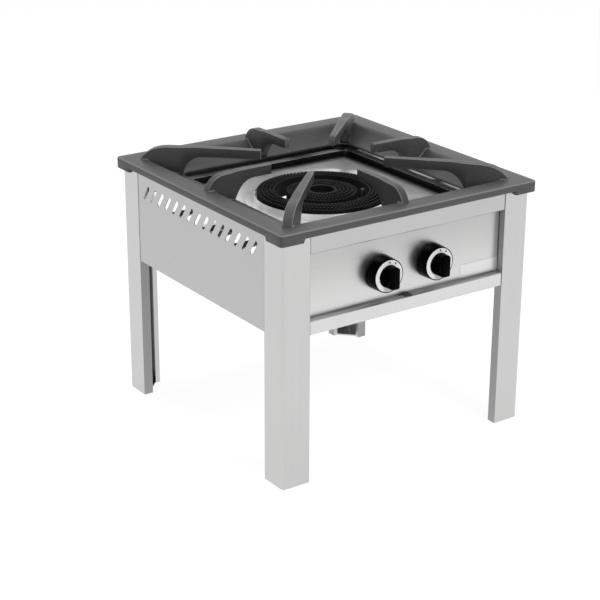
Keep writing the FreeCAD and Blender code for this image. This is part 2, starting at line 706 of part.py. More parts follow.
def oblong_block(half_x, half_y, radius, low, high):
    face = Part.Face(rounded_oblong(half_x, half_y, radius, low))
    return face.extrude(Vector(0, 0, high - low))


def cove_point(t, rim, mouth, top, drop):
    """Point of the cove's section: a quadratic curve, steep at the rim and flat at its foot."""
    bend_out, bend_down = mouth + (rim - mouth) * 0.68, top - drop * 0.85
    out = (1 - t) ** 2 * rim + 2 * t * (1 - t) * bend_out + t ** 2 * mouth
    level = (1 - t) ** 2 * top + 2 * t * (1 - t) * bend_down + t ** 2 * (top - drop)
    return out, level


def finger_blank(base, hump_run, foot):
    """One finger in the XZ plane, pointing at the Z axis, before it is turned into place."""
    tip = float(size.finger_tip_radius)
    flat = float(rim_top + size.finger_rise)
    under = flat - float(size.finger_tip_thick)
    hump = flat + float(size.finger_hump)
    root = float(rim_top) - float(size.grate_rim_thick) / 2
    sole = float(rim_top - size.grate_cove) - float(size.grate_cove_wall) / 2
    arch = float(size.finger_arch)
    rim = base - float(size.finger_seat)
    belly, bed = (foot + rim) / 2, float(rim_top - size.grate_cove + size.grate_cove_wall / 2)
    crest = base - hump_run
    settle = crest - hump_run * 0.8

    def at(out, level):
        return Vector(out, 0, level)

    back = Part.BezierCurve()
    back.setPoles([at(base, root), at(base - hump_run * 0.22, hump - 1),
                   at(crest + hump_run * 0.3, hump), at(crest, hump)])
    easing = Part.BezierCurve()
    easing.setPoles([at(crest, hump), at(crest - hump_run * 0.35, hump),
                     at(settle + hump_run * 0.2, flat), at(settle, flat)])
    span = Part.BezierCurve()
    span.setPoles([at(foot - arch, under), at(foot - arch * 0.35, under),
                   at(foot - arch * 0.1, under - arch * 0.35), at(foot, sole)])
    edges = [
        back.toShape(), easing.toShape(),
        Part.LineSegment(at(settle, flat), at(tip, flat)).toShape(),
        Part.LineSegment(at(tip, flat), at(tip, under)).toShape(),
        Part.LineSegment(at(tip, under), at(foot - arch, under)).toShape(),
        span.toShape(),
        Part.LineSegment(at(foot, sole), at(belly, bed)).toShape(),
        Part.LineSegment(at(belly, bed), at(rim, root)).toShape(),
        Part.LineSegment(at(rim, root), at(base, root)).toShape(),
    ]
    root_half = float(size.finger_root_width) / 2
    tip_half = float(size.finger_tip_width) / 2
    side = Part.Face(Part.Wire(edges))
    side.translate(Vector(0, -root_half, 0))
    profile = side.extrude(Vector(0, 2 * root_half, 0))
    low, high = sole - 1, hump + 1
    plan = Part.makePolygon([
        Vector(tip - 1, -tip_half, low), Vector(settle, -root_half, low),
        Vector(base + 1, -root_half, low), Vector(base + 1, root_half, low),
        Vector(settle, root_half, low), Vector(tip - 1, tip_half, low),
        Vector(tip - 1, -tip_half, low)])
    return profile.common(Part.Face(plan).extrude(Vector(0, 0, high - low)))


def pan_support():
    """Cast pan support: rim with skirt and corner pads, cove, and eight arched fingers."""
    wide, deep, corner = float(grate_half), float(grate_deep), float(size.grate_radius)
    top, under = float(rim_top), float(size.body_top)
    flat = float(size.grate_rim)
    rim_x, rim_y = wide - flat, deep - flat
    mouth, mouth_radius = float(size.grate_mouth) / 2, float(size.grate_mouth_radius)
    wall, drop = float(size.grate_cove_wall), float(size.grate_cove)
    skirt_low, pad_low = top - float(size.grate_skirt), top - float(size.grate_pad)
    skirt = float(size.grate_wall)
    casting = oblong_block(wide, deep, corner, skirt_low, top)
    casting = casting.cut(oblong_block(wide - skirt, deep - skirt, corner / 2, skirt_low - 1, under))

    ring = oblong_block(wide, deep, corner, pad_low, under)
    ring = ring.cut(oblong_block(wide - skirt, deep - skirt, corner / 2, pad_low - 1, under + 1))
    length, slope = float(size.grate_pad_length), float(size.grate_pad_slope)
    for sx, sy in ((1, 1), (-1, 1), (-1, -1), (1, -1)):
        ends = []
        for low, reach in ((pad_low, length), (skirt_low + 0.01, length + slope)):
            corners = ((wide - reach, deep - reach), (wide, deep - reach), (wide, deep),
                       (wide - reach, deep), (wide - reach, deep - reach))
            ends.append(Part.makePolygon([Vector(x * sx, y * sy, low) for x, y in corners]))
        casting = casting.fuse(ring.common(Part.makeLoft(ends, True, True)))

    shell, hollow = [], []
    for t in (i / 5 for i in range(6)):
        (x, level), (y, _) = (cove_point(t, rim, mouth, top, drop) for rim in (rim_x, rim_y))
        radius, swell = mouth_radius - 4 * (1 - t), wall * (1 - t)
        hollow.append(rounded_oblong(x, y, radius, level))
        shell.append(rounded_oblong(x + swell, y + swell, radius + swell, level - wall - swell / 2))
    casting = casting.fuse(Part.makeLoft(shell, True, True))
    fingers = []
    seat, foot = float(size.finger_seat), float(size.finger_foot)
    bearing = math.degrees(math.atan2(rim_y, rim_x))
    corner_base = math.hypot(rim_x, rim_y) + seat * 0.7
    corner_foot = mouth * DIAGONAL - mouth_radius * (DIAGONAL - 1) + foot
    for turn, base, run, heel in ((0, rim_x + seat, 46, mouth + foot),
                                  (90, rim_y + seat, 46, mouth + foot),
                                  (bearing, corner_base, 71, corner_foot),
                                  (180 - bearing, corner_base, 71, corner_foot)):
        for half_turn in (0, 180):
            finger = finger_blank(base, run, heel)
            finger.rotate(Vector(0, 0, 0), Vector(0, 0, 1), turn + half_turn)
            fingers.append(finger)
    void = Part.makeLoft(hollow, True, True)
    throat = oblong_block(mouth, mouth, mouth_radius, top - drop - 2 * wall, top - drop + 0.01)
    casting = casting.cut(void.fuse(throat))
    return casting.fuse(fingers).removeSplitter()


shaped("pan_support", pan_support())


# --------------------------------------------------------------------------- spill tray
def spill_tray():
    """Pressed tray: lip, walls, floor, a dish and a raised collar round the burner."""
    sheet_t = size.tray_sheet
    body = new_body("spill_tray")

    def edge(name, inset, radius):
        profile = sketch_on(body, name, "XY_Plane")
        soft_rectangle(profile, tray_half - inset, tray_deep - inset, radius)
        return profile

    corner, lip = size.tray_corner, size.tray_lip
    pad(body, "tray_lip_plate", edge("tray_lip_edge", NONE, corner + lip), sheet_t, reverse=True)
    pad(body, "tray_wall_block", edge("tray_wall_edge", lip, corner),
        size.tray_depth + sheet_t, reverse=True)
    pocket(body, "tray_inside", edge("tray_inside_edge", lip + sheet_t, corner - sheet_t),
           size.tray_depth)
    centre = sketch_on(body, "tray_centre_edge", "XY_Plane", -size.tray_depth + 1)
    round_hole(centre, NONE, NONE, size.tray_dish_radius)
    pocket(body, "tray_centre", centre, sheet_t + 2)

    floor = -size.tray_depth
    low = floor - size.tray_dish
    collar_top = floor + size.collar_height
    foot = collar_radius + size.dish_flat
    inner = collar_radius - sheet_t
    section = sketch_on(body, "dish_section", "XZ_Plane")
    outline(section, (
        (size.tray_dish_radius, floor), (foot, low), (collar_radius, low),
        (collar_radius, collar_top), (inner, collar_top), (inner, low - sheet_t),
        (foot, low - sheet_t), (size.tray_dish_radius, floor - sheet_t)))
    revolve(body, "dish_and_collar", section)
    holes = sketch_on(body, "tray_screw_places", "XY_Plane")
    for sx in (-1, 1):
        for sy in (-1, 1):
            round_hole(holes, screw_x * sx, screw_y * sy,
                       size.screw_radius + size.bolt_fit)
    pocket(body, "tray_screw_holes", holes, sheet_t * 2)
    return put(body, NONE, NONE, size.tray_level)


def revolve(body, name, section):
    feature = body.newObject("PartDesign::Revolution", name)
    feature.Profile = section
    feature.ReferenceAxis = (section, ["V_Axis"])
    feature.Angle = 360
    body.Tip = feature
    doc.recompute()
    return feature


spill_tray()


# --------------------------------------------------------------------------- burner bars
def bar_holes(name, places, y, top):
    radius = size.bolt_size / 2 + size.bolt_fit
    return [cylinder(f"{name}_hole_{i}", radius, size.bar_sheet + 2, x, y, top - size.bar_sheet - 1)
            for i, x in enumerate(places)]


def burner_bar(place, y, top, bolts):
    """Flat bar from side panel to side panel, its ends turned down."""
    label = f"burner_bar_{place}"
    width, sheet_t = size.bar_width, size.bar_sheet
    length = panel_inside * 2
    low = y - width / 2
    flat = box(f"{label}_flat", length, width, sheet_t, -panel_inside, low, top - sheet_t)
    left = box(f"{label}_tab_left", sheet_t, width, size.bar_tab,
               -panel_inside, low, top - size.bar_tab)
    right = box(f"{label}_tab_right", sheet_t, width, size.bar_tab,
                panel_inside - sheet_t, low, top - size.bar_tab)
    body = fused(f"{label}_body", flat, left, right)
    return node(cut(label, body, *bar_holes(label, bolts, y, top)), label)


pilot_bolt_x = size.pilot_x - 2
burner_bar("front", -size.bar_offset, size.ring_base, (-size.boss_spread, size.boss_spread))
burner_bar("rear", size.bar_offset, size.ring_base, (-size.boss_spread, size.boss_spread))
burner_bar("middle", NONE, size.cup_base, (-size.boss_spread, size.boss_spread, pilot_bolt_x))


# --------------------------------------------------------------------------- burner castings
def mixing_tube(prefix, x, elbow, riser_top, shrink, front):
    """Solid in the shape of a mixing tube: mouth, funnel, tube, elbow and riser."""
    mouth, throat = size.tube_mouth - shrink, size.tube_throat - shrink
    end, level = size.tube_end - shrink, size.tube_level
    straight_end = tube_front - size.tube_straight
    funnel_end = straight_end - size.tube_funnel
    straight = cylinder(f"{prefix}_mouth", mouth, front - straight_end, x, -front, level, ALONG_Y)
    funnel = sized("Part::Cone", f"{prefix}_funnel", Radius1=mouth, Radius2=throat,
                   Height=size.tube_funnel)
    put(funnel, x, -straight_end, level, ALONG_Y)
    run = sized("Part::Cone", f"{prefix}_run", Radius1=throat, Radius2=end,
                Height=funnel_end - elbow)
    put(run, x, -funnel_end, level, ALONG_Y)
    ball = put(sized("Part::Sphere", f"{prefix}_elbow", Radius=end), x, -elbow, level)
    riser = cylinder(f"{prefix}_riser", end, riser_top - level, x, -elbow, level)
    return fused(prefix, straight, funnel, run, ball, riser)


def window_box(name, x):
    """Block that cuts both air windows of a mixing tube or its shutter."""
    reach = size.tube_mouth + size.shutter_wall + 2
    middle = tube_front - size.tube_wall - size.shutter_length / 2
    return box(name, reach * 2, size.window_width, size.window_height, x - reach,
               -middle - size.window_width / 2, size.tube_level - size.window_height / 2)


def burner_base(which, outer, inner, base, split, x, elbow, bosses):
    """Cast gas channel with its bolt bosses, riser, mixing tube and air windows."""
    label = f"{which}_burner_base"
    wall, floor = size.casting_wall, size.casting_floor
    bolt_hole = size.bolt_size / 2 + size.bolt_fit
    boss_height = split - base - size.spigot - 1
    block = cylinder(f"{label}_block", outer, split - base, z=base)
    shape = fused(f"{label}_outside", block, mixing_tube(
        f"{label}_tube", x, elbow, base + floor / 2, NONE, tube_front))
    ring = cut(f"{label}_ring",
               cylinder(f"{label}_channel_outer", outer - wall, split - base, z=base + floor),
               cylinder(f"{label}_channel_inner", inner + wall, split - base + 2, z=base + floor - 1),
               *[cylinder(f"{label}_boss_{i}", size.boss_radius, boss_height, px, py, base)
                 for i, (px, py) in enumerate(bosses)])
    holes = [cylinder(f"{label}_bolt_hole_{i}", bolt_hole, boss_height + 2, px, py, base - 1)
             for i, (px, py) in enumerate(bosses)]
    bore = cylinder(f"{label}_bore", inner, split - base + 2, z=base - 1)
    air = mixing_tube(f"{label}_air", x, elbow, base + floor + 1, size.tube_wall,
                      tube_front - size.tube_wall)
    jet = cylinder(f"{label}_jet_hole", size.jet_radius + size.bolt_fit, size.tube_wall * 2,
                   x, -tube_front - 1, size.tube_level, ALONG_Y)
    body = cut(label, shape, ring, bore, air, jet, window_box(f"{label}_windows", x), *holes)
    return node(body, label)


outer_bosses = [(size.boss_spread * sx, size.bar_offset * sy) for sx in (-1, 1) for sy in (-1, 1)]
inner_bosses = [(size.boss_spread * sx, NONE) for sx in (-1, 1)]
outer_tube_x = -size.outer_tube_x
burner_base("outer", size.ring_outer, size.ring_inner, size.ring_base, size.ring_split,
            outer_tube_x, size.outer_tube_y, outer_bosses)
burner_base("inner", size.cup_outer, size.cup_bore, size.cup_base, size.cup_split,
            size.inner_tube_x, size.inner_tube_y, inner_bosses)


def crown(which, outer, inner, seat, top, ports):
    """Cast crown: stepped concentric ridges crossed by swirling flame ports, on a spigot."""
    label = f"{which}_crown"
    height = top - seat
    pitch = size.crown_ridge + size.crown_groove
    gap = size.casting_wall + size.crown_fit
    ridges = int(float(outer - inner) // float(pitch))
    drops = [size.crown_step if k == 0 else size.crown_step / 3 if k == 1 else NONE
             for k in range(ridges)]
    section = [(inner, NONE), (inner + gap, NONE), (inner + gap, -size.spigot),
               (outer - gap, -size.spigot), (outer - gap, NONE), (outer, NONE)]
    for k, drop in enumerate(drops):
        edge, crest = outer - pitch * k, height - drop
        valley = height - size.crown_step - size.crown_groove_depth
        section += [(edge, crest), (edge - size.crown_ridge, crest),
                    (edge - size.crown_ridge, valley), (edge - pitch, valley)]
    section += [(outer - pitch * ridges, height - 1), (inner, height - 1)]
    body = new_body(label)
    profile = sketch_on(body, f"{label}_section", "XZ_Plane")
    outline(profile, section)
    revolve(body, f"{label}_ridges", profile)
    angle = math.radians(float(size.crown_port_swirl))
    run, side = outer - inner, size.crown_port / 2
    away_x, away_y = side * math.sin(angle), side * math.cos(angle)
    start = outer + 2
    end_x, end_y = start - run * math.cos(angle), run * math.sin(angle)
    port = sketch_on(body, f"{label}_port", "XY_Plane", height)
    outline(port, ((start + away_x, away_y), (end_x + away_x, end_y + away_y),
                   (end_x - away_x, end_y - away_y), (start - away_x, -away_y)))
    first = pocket(body, f"{label}_first_port", port, size.crown_port_depth)
    row = body.newObject("PartDesign::PolarPattern", f"{label}_ports")
    row.Originals = [first]
    row.Axis = (port, ["N_Axis"])
    row.Angle = 360
    row.setExpression("Occurrences", ports.text)
    body.Tip = row
    return put(body, NONE, NONE, seat)


crown("outer", size.ring_outer, size.ring_inner, size.ring_split, size.ring_top, size.outer_ports)
crown("inner", size.cup_outer, size.cup_bore, size.cup_split, size.cup_top, size.inner_ports)


# --------------------------------------------------------------------------- air and gas
def air_shutter(which, x):
    """Sleeve that turns on the mouth of a mixing tube, with a thumb screw below it."""
    label = f"air_shutter_{which}"
    inside = size.tube_mouth + size.shutter_fit
    outside = inside + size.shutter_wall
    start = -tube_front + size.tube_wall
    level = size.tube_level
    sleeve = cylinder(f"{label}_sleeve", outside, size.shutter_length, x, start, level, ALONG_Y)
    screw = cylinder(f"{label}_screw", size.thumb_radius, size.thumb_length,
                     x, start + size.thumb_radius + 1, level - outside - size.thumb_length + 1)
    bore = cylinder(f"{label}_bore", inside, size.shutter_length + 2, x, start - 1, level, ALONG_Y)
    body = cut(label, fused(f"{label}_outside", sleeve, screw), bore,
               window_box(f"{label}_windows", x))
    return node(body, label)


def injector(which, x):
    """Brass jet: hexagon in front of the mixing tube, nozzle through its front wall."""
    label = f"injector_{which}"
    level, front = size.tube_level, tube_front
    head = hexagon(f"{label}_head", size.jet_hexagon, size.jet_head, x,
                   -front - size.jet_head, level, ALONG_Y)
    nozzle = cylinder(f"{label}_nozzle", size.jet_radius, size.tube_wall + size.jet_reach,
                      x, -front, level, ALONG_Y)
    bore = cylinder(f"{label}_bore", size.jet_radius / 4,
                    size.jet_head + size.tube_wall + size.jet_reach + 2,
                    x, -front - size.jet_head - 1, level, ALONG_Y)
    return node(cut(label, fused(f"{label}_outside", head, nozzle), bore), label)


def tube_through(points, radius, bend, wall):
    """Pipe along straight runs joined by round bends; solid where the wall is 0."""
    points = [Vector(*(float(value) for value in point)) for point in points]
    radius, bend, wall = float(radius), float(bend), float(wall)
    edges, start = [], points[0]
    for before, corner, after in zip(points, points[1:], points[2:]):
        back = (before - corner).normalize()
        ahead = (after - corner).normalize()
        enter, leave = corner + back * bend, corner + ahead * bend
        centre = enter + ahead * bend
        middle = centre + (corner - centre).normalize() * bend
        edges.append(Part.LineSegment(start, enter).toShape())
        edges.append(Part.Arc(enter, middle, leave).toShape())
        start = leave
    edges.append(Part.LineSegment(start, points[-1]).toShape())
    path = Part.Wire(edges)
    heading = points[1] - points[0]

    def swept(reach):
        section = Part.Wire([Part.Circle(points[0], heading, reach).toShape()])
        return path.makePipeShell([section], True, False)

    return swept(radius).cut(swept(radius - wall)) if wall else swept(radius)


for which, x in (("outer", outer_tube_x), ("inner", size.inner_tube_x)):
    air_shutter(which, x)
    injector(which, x)

tap_top = size.knob_level + size.tap_outlet
socket_top = size.pipe_level + size.socket_height
for which, tap_x, burner_x in (("outer", -knob_x, outer_tube_x),
                               ("inner", knob_x, size.inner_tube_x)):
    shaped(f"feed_tube_{which}", tube_through(
        ((tap_x, -tap_mid, tap_top), (tap_x, -tap_mid, size.tube_level),
         (burner_x, -tap_mid, size.tube_level),
         (burner_x, -tube_front - size.jet_head, size.tube_level)),
        size.feed_radius, size.feed_bend, size.feed_wall))


def gas_pipe():
    """Gas pipe along the front and the right side, with a socket under each tap."""
    level, mid = float(size.pipe_level), float(tap_mid)
    pipe = tube_through(
        ((-size.pipe_left, -tap_mid, size.pipe_level), (pipe_side, -tap_mid, size.pipe_level),
         (pipe_side, half_depth, size.pipe_level)),
        size.pipe_radius, size.pipe_bend, size.pipe_wall)
    bore = float(size.pipe_radius - size.pipe_wall)
    for side in (-1, 1):
        foot = Vector(float(knob_x) * side, -mid, level)
        socket = Part.makeCylinder(float(size.socket_radius), float(size.socket_height), foot)
        hollow = Part.makeCylinder(bore, 40, foot - Vector(20, 0, 0), Vector(1, 0, 0))
        passage = Part.makeCylinder(float(size.gas_bore), float(size.socket_height) + 1, foot)
        pipe = pipe.fuse(socket.cut(hollow)).cut(passage)
    return pipe.removeSplitter()


shaped("gas_pipe", gas_pipe())

cap_start = -size.pipe_left - size.cap_end
pipe_cap = cut("pipe_cap",
               cylinder("pipe_cap_outside", size.pipe_radius + size.cap_wall,
                        size.cap_end + size.cap_grip, cap_start, -tap_mid, size.pipe_level, ALONG_X),
               cylinder("pipe_cap_inside", size.pipe_radius + size.bolt_fit, size.cap_grip + 1,
                        -size.pipe_left, -tap_mid, size.pipe_level, ALONG_X))
node(pipe_cap, "pipe_cap")

inlet_end = grate_deep + size.inlet_reach
inlet_shoulder = inlet_end - size.inlet_thread
gas_inlet = cut("gas_inlet",
                fused("gas_inlet_outside",
                      hexagon("gas_inlet_hexagon", size.inlet_hexagon,
                              inlet_shoulder - half_depth, pipe_side, half_depth,
                              size.pipe_level, ALONG_Y),
                      cylinder("gas_inlet_thread", size.inlet_radius, size.inlet_thread,
                               pipe_side, inlet_shoulder, size.pipe_level, ALONG_Y)),
                cylinder("gas_inlet_bore", size.pipe_radius - size.pipe_wall,
                         inlet_end - half_depth + 2, pipe_side, half_depth - 1,
                         size.pipe_level, ALONG_Y))
node(gas_inlet, "gas_inlet")


def pipe_clip(place, foot, web, ring_start, ring_turn):
    """Foot on a lower rail, web, and ring round the gas pipe."""
    label = f"pipe_clip_{place}"
    outside = size.pipe_radius + size.clip_wall
    ring = cylinder(f"{label}_ring", outside, size.clip_width, *ring_start, ring_turn)
    body = fused(f"{label}_body", box(f"{label}_foot", *foot), box(f"{label}_web", *web), ring)
    bore_start = [value - 1 if i == (0 if place == "front" else 1) else value
                  for i, value in enumerate(ring_start)]
    bore = cylinder(f"{label}_bore", size.pipe_radius + size.bolt_fit, size.clip_width + 2,
                    *bore_start, ring_turn)
    return node(cut(label, body, bore), label)


clip_half = size.clip_width / 2
clip_sheet = size.clip_sheet
clip_rise = size.pipe_level - size.pipe_radius - rail_top
pipe_clip("front",
          (size.clip_width, half_depth - tap_mid + size.clip_width / 4, clip_sheet,
           -clip_half, -half_depth + size.panel_bend, rail_top),
          (size.clip_width, size.clip_wall * 2, clip_rise - clip_sheet,
           -clip_half, -tap_mid - size.clip_wall, rail_top + clip_sheet),
          (-clip_half, -tap_mid, size.pipe_level), ALONG_X)
rear_mid = half_depth - size.lower_rail_fold / 2
pipe_clip("rear",
          (size.clip_width * 2, size.clip_width, clip_sheet,
           pipe_side - size.clip_width, rear_mid - clip_half, rail_top),
          (size.clip_wall * 2, size.clip_width, clip_rise - clip_sheet,
           pipe_side - size.clip_wall, rear_mid - clip_half, rail_top + clip_sheet),
          (pipe_side, rear_mid - clip_half, size.pipe_level), ALONG_Y)


# --------------------------------------------------------------------------- taps and knobs
def tap(place, side):
    """Brass tap: body on the pipe's socket, plug, front cap; the knob's axis runs through it."""
    x, level = knob_x * side, size.knob_level
    label = f"tap_body_{place}"
    front, rear = tap_front, tap_front - size.tap_length
    pieces = [
        cylinder(f"{label}_barrel", size.tap_radius, size.tap_length, x, -front, level, ALONG_Y),
        cylinder(f"{label}_valve", size.valve_radius, size.valve_length, x, -rear, level, ALONG_Y),
        cylinder(f"{label}_outlet", size.stub_radius, size.tap_outlet, x, -tap_mid, level),
        cylinder(f"{label}_stub", size.stub_radius, level - socket_top, x, -tap_mid, socket_top),
        hexagon(f"{label}_stub_nut", size.stub_nut, size.stub_nut_height, x, -tap_mid, socket_top),
        hexagon(f"{label}_outlet_nut", size.stub_nut - 2, size.stub_nut_height, x, -tap_mid,
                tap_top - size.stub_nut_height),
    ]
    if side > 0:
        block = size.pilot_block
        pieces.append(box(f"{label}_pilot_block", size.pilot_x - x + block / 2, block, block,
                          x, -front + size.tap_length / 2, level - block / 2))
    cavity = sized("Part::Cone", f"{label}_cavity", Radius1=size.plug_large + size.plug_fit,
                   Radius2=size.plug_small + size.plug_fit, Height=size.plug_length + 0.5)
    put(cavity, x, -front, level, ALONG_Y)
    passage = cylinder(f"{label}_passage", size.gas_bore, tap_top - socket_top + 2,
                       x, -tap_mid, socket_top - 1)
    node(cut(label, fused(f"{label}_outside", *pieces), cavity, passage), label)

    label = f"tap_cap_{place}"
    cap = cylinder(f"{label}_disc", size.tap_radius, size.tap_cap, x, -front - size.tap_cap,
                   level, ALONG_Y)
    hole = cylinder(f"{label}_hole", size.spindle_radius + size.spindle_fit, size.tap_cap + 2,
                    x, -front - size.tap_cap - 1, level, ALONG_Y)
    node(cut(label, cap, hole), label)

    label = f"tap_plug_{place}"
    plug = sized("Part::Cone", f"{label}_cone", Radius1=size.plug_large, Radius2=size.plug_small,
                 Height=size.plug_length)
    put(plug, x, -front, level, ALONG_Y)
    tang = size.tang + size.spindle_fit * 2
    socket = box(f"{label}_socket", tang, size.socket_depth + 1, tang,
                 x - tang / 2, -front - 1, level - tang / 2)
    port = cylinder(f"{label}_port", size.gas_bore, size.plug_large * 2 + 2,
                    x - size.plug_large - 1, -tap_mid, level, ALONG_X)
    node(cut(label, plug, socket, port), label)


def knob(place, side):
    """Turning knob with its dial ring, on a spindle that pushes in before it turns."""
    x, level = knob_x * side, size.knob_level
    toward = Rotation(Vector(1, 0, 0), 90)
    skirt, radius = size.knob_skirt, size.knob_radius
    bore, hub = size.spindle_radius + size.bolt_fit, size.knob_hub
    seat_out, seat_in = size.dial_outer + size.bolt_fit, size.dial_inner - size.bolt_fit
    seat, shell = skirt - size.dial_thick, size.knob_shell
    hollow = skirt - size.knob_web
    body = new_body(f"knob_{place}")
    section = sketch_on(body, f"knob_section_{place}", "XZ_Plane")
    outline(section, (
        (bore, NONE), (hub, NONE), (hub, hollow), (radius - shell, hollow),
        (radius + size.knob_flare - shell, NONE), (radius + size.knob_flare, NONE),
        (radius, skirt), (seat_out, skirt), (seat_out, seat), (seat_in, seat),
        (seat_in, skirt + size.knob_boss), (NONE, skirt + size.knob_boss),
        (NONE, skirt - size.knob_tip), (bore, skirt - size.knob_tip)))
    revolve(body, f"knob_skirt_{place}", section)
    grip = sketch_on(body, f"grip_outline_{place}", "XY_Plane", skirt)
    soft_rectangle(grip, size.grip_width / 2, size.grip_length / 2, size.grip_round)
    pad(body, f"grip_{place}", grip, size.grip_height)
    far = float(skirt + size.grip_height)
    rounded(body, f"grip_top_{place}", size.grip_soft, lambda edge: all(
        abs(vertex.Z - far) < 0.01 for vertex in edge.Vertexes))
    put(body, x, -dial_face + skirt, level, toward)

    label = f"dial_ring_{place}"
    disc = cylinder(f"{label}_disc", size.dial_outer, size.dial_thick, x, -dial_face, level, ALONG_Y)
    hole = cylinder(f"{label}_hole", size.dial_inner, size.dial_thick + 2,
                    x, -dial_face - 1, level, ALONG_Y)
    node(cut(label, disc, hole), label)

    label = f"spindle_{place}"
    shoulder = tap_front + size.tap_cap + size.knob_travel / 4
    start = dial_face - size.knob_tip
    rod = cylinder(f"{label}_rod", size.spindle_radius, start - shoulder, x, -start, level, ALONG_Y)
    tang = box(f"{label}_tang", size.tang, shoulder - tap_front + size.socket_depth
               - size.knob_travel * 1.5, size.tang, x - size.tang / 2, -shoulder,
               level - size.tang / 2)
    node(fused(label, rod, tang), label)


for place, side in (("left", -1), ("right", 1)):
    tap(place, side)
    knob(place, side)


# --------------------------------------------------------------------------- pilot and sensor
bracket_top = size.cup_base - size.bar_sheet
bracket_low = bracket_top - size.pilot_plate
plate_left, plate_right = size.boss_spread + size.boss_radius + 1, size.pilot_x + 12
plate_front = size.probe_y + 12
pilot_plate = box("pilot_bracket_plate", plate_right - plate_left,
                  size.bar_width / 2 + plate_front, size.pilot_plate,
                  plate_left, -plate_front, bracket_low)
pilot_bracket = cut(
    "pilot_bracket", pilot_plate,
    cylinder("pilot_hole", size.pilot_radius + size.bolt_fit, size.pilot_plate + 2,
             size.pilot_x, -size.pilot_y, bracket_low - 1),
    cylinder("probe_hole", size.probe_radius + size.bolt_fit, size.pilot_plate + 2,
             size.probe_x, -size.probe_y, bracket_low - 1),
    cylinder("bracket_bolt_hole", size.bolt_size / 2 + size.bolt_fit, size.pilot_plate + 2,
             pilot_bolt_x, NONE, bracket_low - 1))
node(pilot_bracket, "pilot_bracket")

pilot_foot = bracket_low - size.pilot_nut
pilot_burner = cut(
    "pilot_burner",
    fused("pilot_burner_outside",
          cylinder("pilot_stem", size.pilot_radius, size.pilot_top - pilot_foot,
                   size.pilot_x, -size.pilot_y, pilot_foot),
          hexagon("pilot_nut", size.pilot_radius * 3, size.pilot_nut, size.pilot_x,
                  -size.pilot_y, pilot_foot)),
    cylinder("pilot_bore", size.pilot_radius / 2, size.pilot_top - pilot_foot - 6,
             size.pilot_x, -size.pilot_y, pilot_foot - 1),
    box("pilot_flame_slot", size.pilot_radius * 2 + 2, size.pilot_radius,
        size.pilot_radius * 1.5, size.pilot_x - size.pilot_radius - 1,
        -size.pilot_y - size.pilot_radius / 2, size.pilot_top - size.pilot_radius * 2.25))
node(pilot_burner, "pilot_burner")

thermocouple = fused(
    "thermocouple",
    cylinder("thermocouple_probe", size.probe_radius, size.probe_top - pilot_foot,
             size.probe_x, -size.probe_y, pilot_foot),
    hexagon("thermocouple_nut", size.probe_radius * 4, size.pilot_nut, size.probe_x,
            -size.probe_y, pilot_foot))
node(thermocouple, "thermocouple")

valve_end = tap_front - size.tap_length - size.valve_length
shaped("thermocouple_lead", tube_through(
    ((size.probe_x, -size.probe_y, pilot_foot), (size.probe_x, -size.probe_y, size.knob_level),
     (size.probe_x, -valve_end, size.knob_level)),
    size.lead_radius, size.feed_bend, 0))
block_rear = tap_front - size.tap_length / 2 - size.pilot_block
shaped("pilot_tube", tube_through(
    ((size.pilot_x, -size.pilot_y, pilot_foot), (size.pilot_x, -size.pilot_y, size.knob_level),
     (size.pilot_x, -block_rear, size.knob_level)),
    size.pilot_tube, size.feed_bend, size.feed_wall / 2))


# --------------------------------------------------------------------------- fasteners
TOWARD = {
    (1, 0): Rotation(Vector(0, 1, 0), 90), (-1, 0): Rotation(Vector(0, 1, 0), -90),
    (0, 1): ALONG_Y, (0, -1): Rotation(Vector(1, 0, 0), 90), (0, 0): UPRIGHT}


def bolt(name, x, y, z, direction, clamp, nut=True):
    """Hexagon bolt whose head bears at the point, through the clamped sheets, with its nut."""
    head, nut_height = size.bolt_size * 0.65, size.bolt_size * 0.8
    dx, dy = direction
    dz = 0 if dx or dy else 1
    turn = TOWARD[direction]

    def at(distance):
        return (x + distance * dx, y + distance * dy, z + distance * dz)

    pieces = [hexagon(f"{name}_head", size.bolt_head, head, *at(-head), turn),
              cylinder(f"{name}_shank", size.bolt_size / 2, clamp + nut_height + 1, x, y, z, turn)]
    if nut:
        pieces.append(hexagon(f"{name}_nut", size.bolt_head, nut_height, *at(clamp), turn))
    return fused(name, *pieces)


seam_clamp = size.panel_sheet + size.seam + size.leg_sheet
flange = size.leg_face + size.seam + size.panel_sheet
frame_bolts = []
for sx in (-1, 1):
    for sy in (-1, 1):
        for level_name, level in (("low", bolt_low), ("high", bolt_high)):
            tag = f"{level_name}_{'left' if sx < 0 else 'right'}_{'front' if sy < 0 else 'rear'}"
            frame_bolts.append(bolt(
                f"side_bolt_{tag}", (half_width - size.bolt_depth) * sx,
                (half_depth - flange) * sy, level, (0, sy), seam_clamp))
            frame_bolts.append(bolt(
                f"rail_bolt_{tag}", (half_width - flange) * sx,
                (half_depth - size.bolt_depth) * sy, level, (sx, 0), seam_clamp))
node(group("frame_bolts", frame_bolts), "frame_bolts")

burner_bolts = [
    bolt(f"ring_bolt_{i}", px, py, size.ring_base - size.bar_sheet, (0, 0), size.bar_sheet, False)
    for i, (px, py) in enumerate(outer_bosses)]
burner_bolts += [
    bolt(f"cup_bolt_{i}", px, py, bracket_top, (0, 0), size.bar_sheet, False)
    for i, (px, py) in enumerate(inner_bosses)]
burner_bolts.append(bolt("bracket_bolt", pilot_bolt_x, NONE, bracket_low, (0, 0),
                         size.pilot_plate + size.bar_sheet))
node(group("burner_bolts", burner_bolts), "burner_bolts")

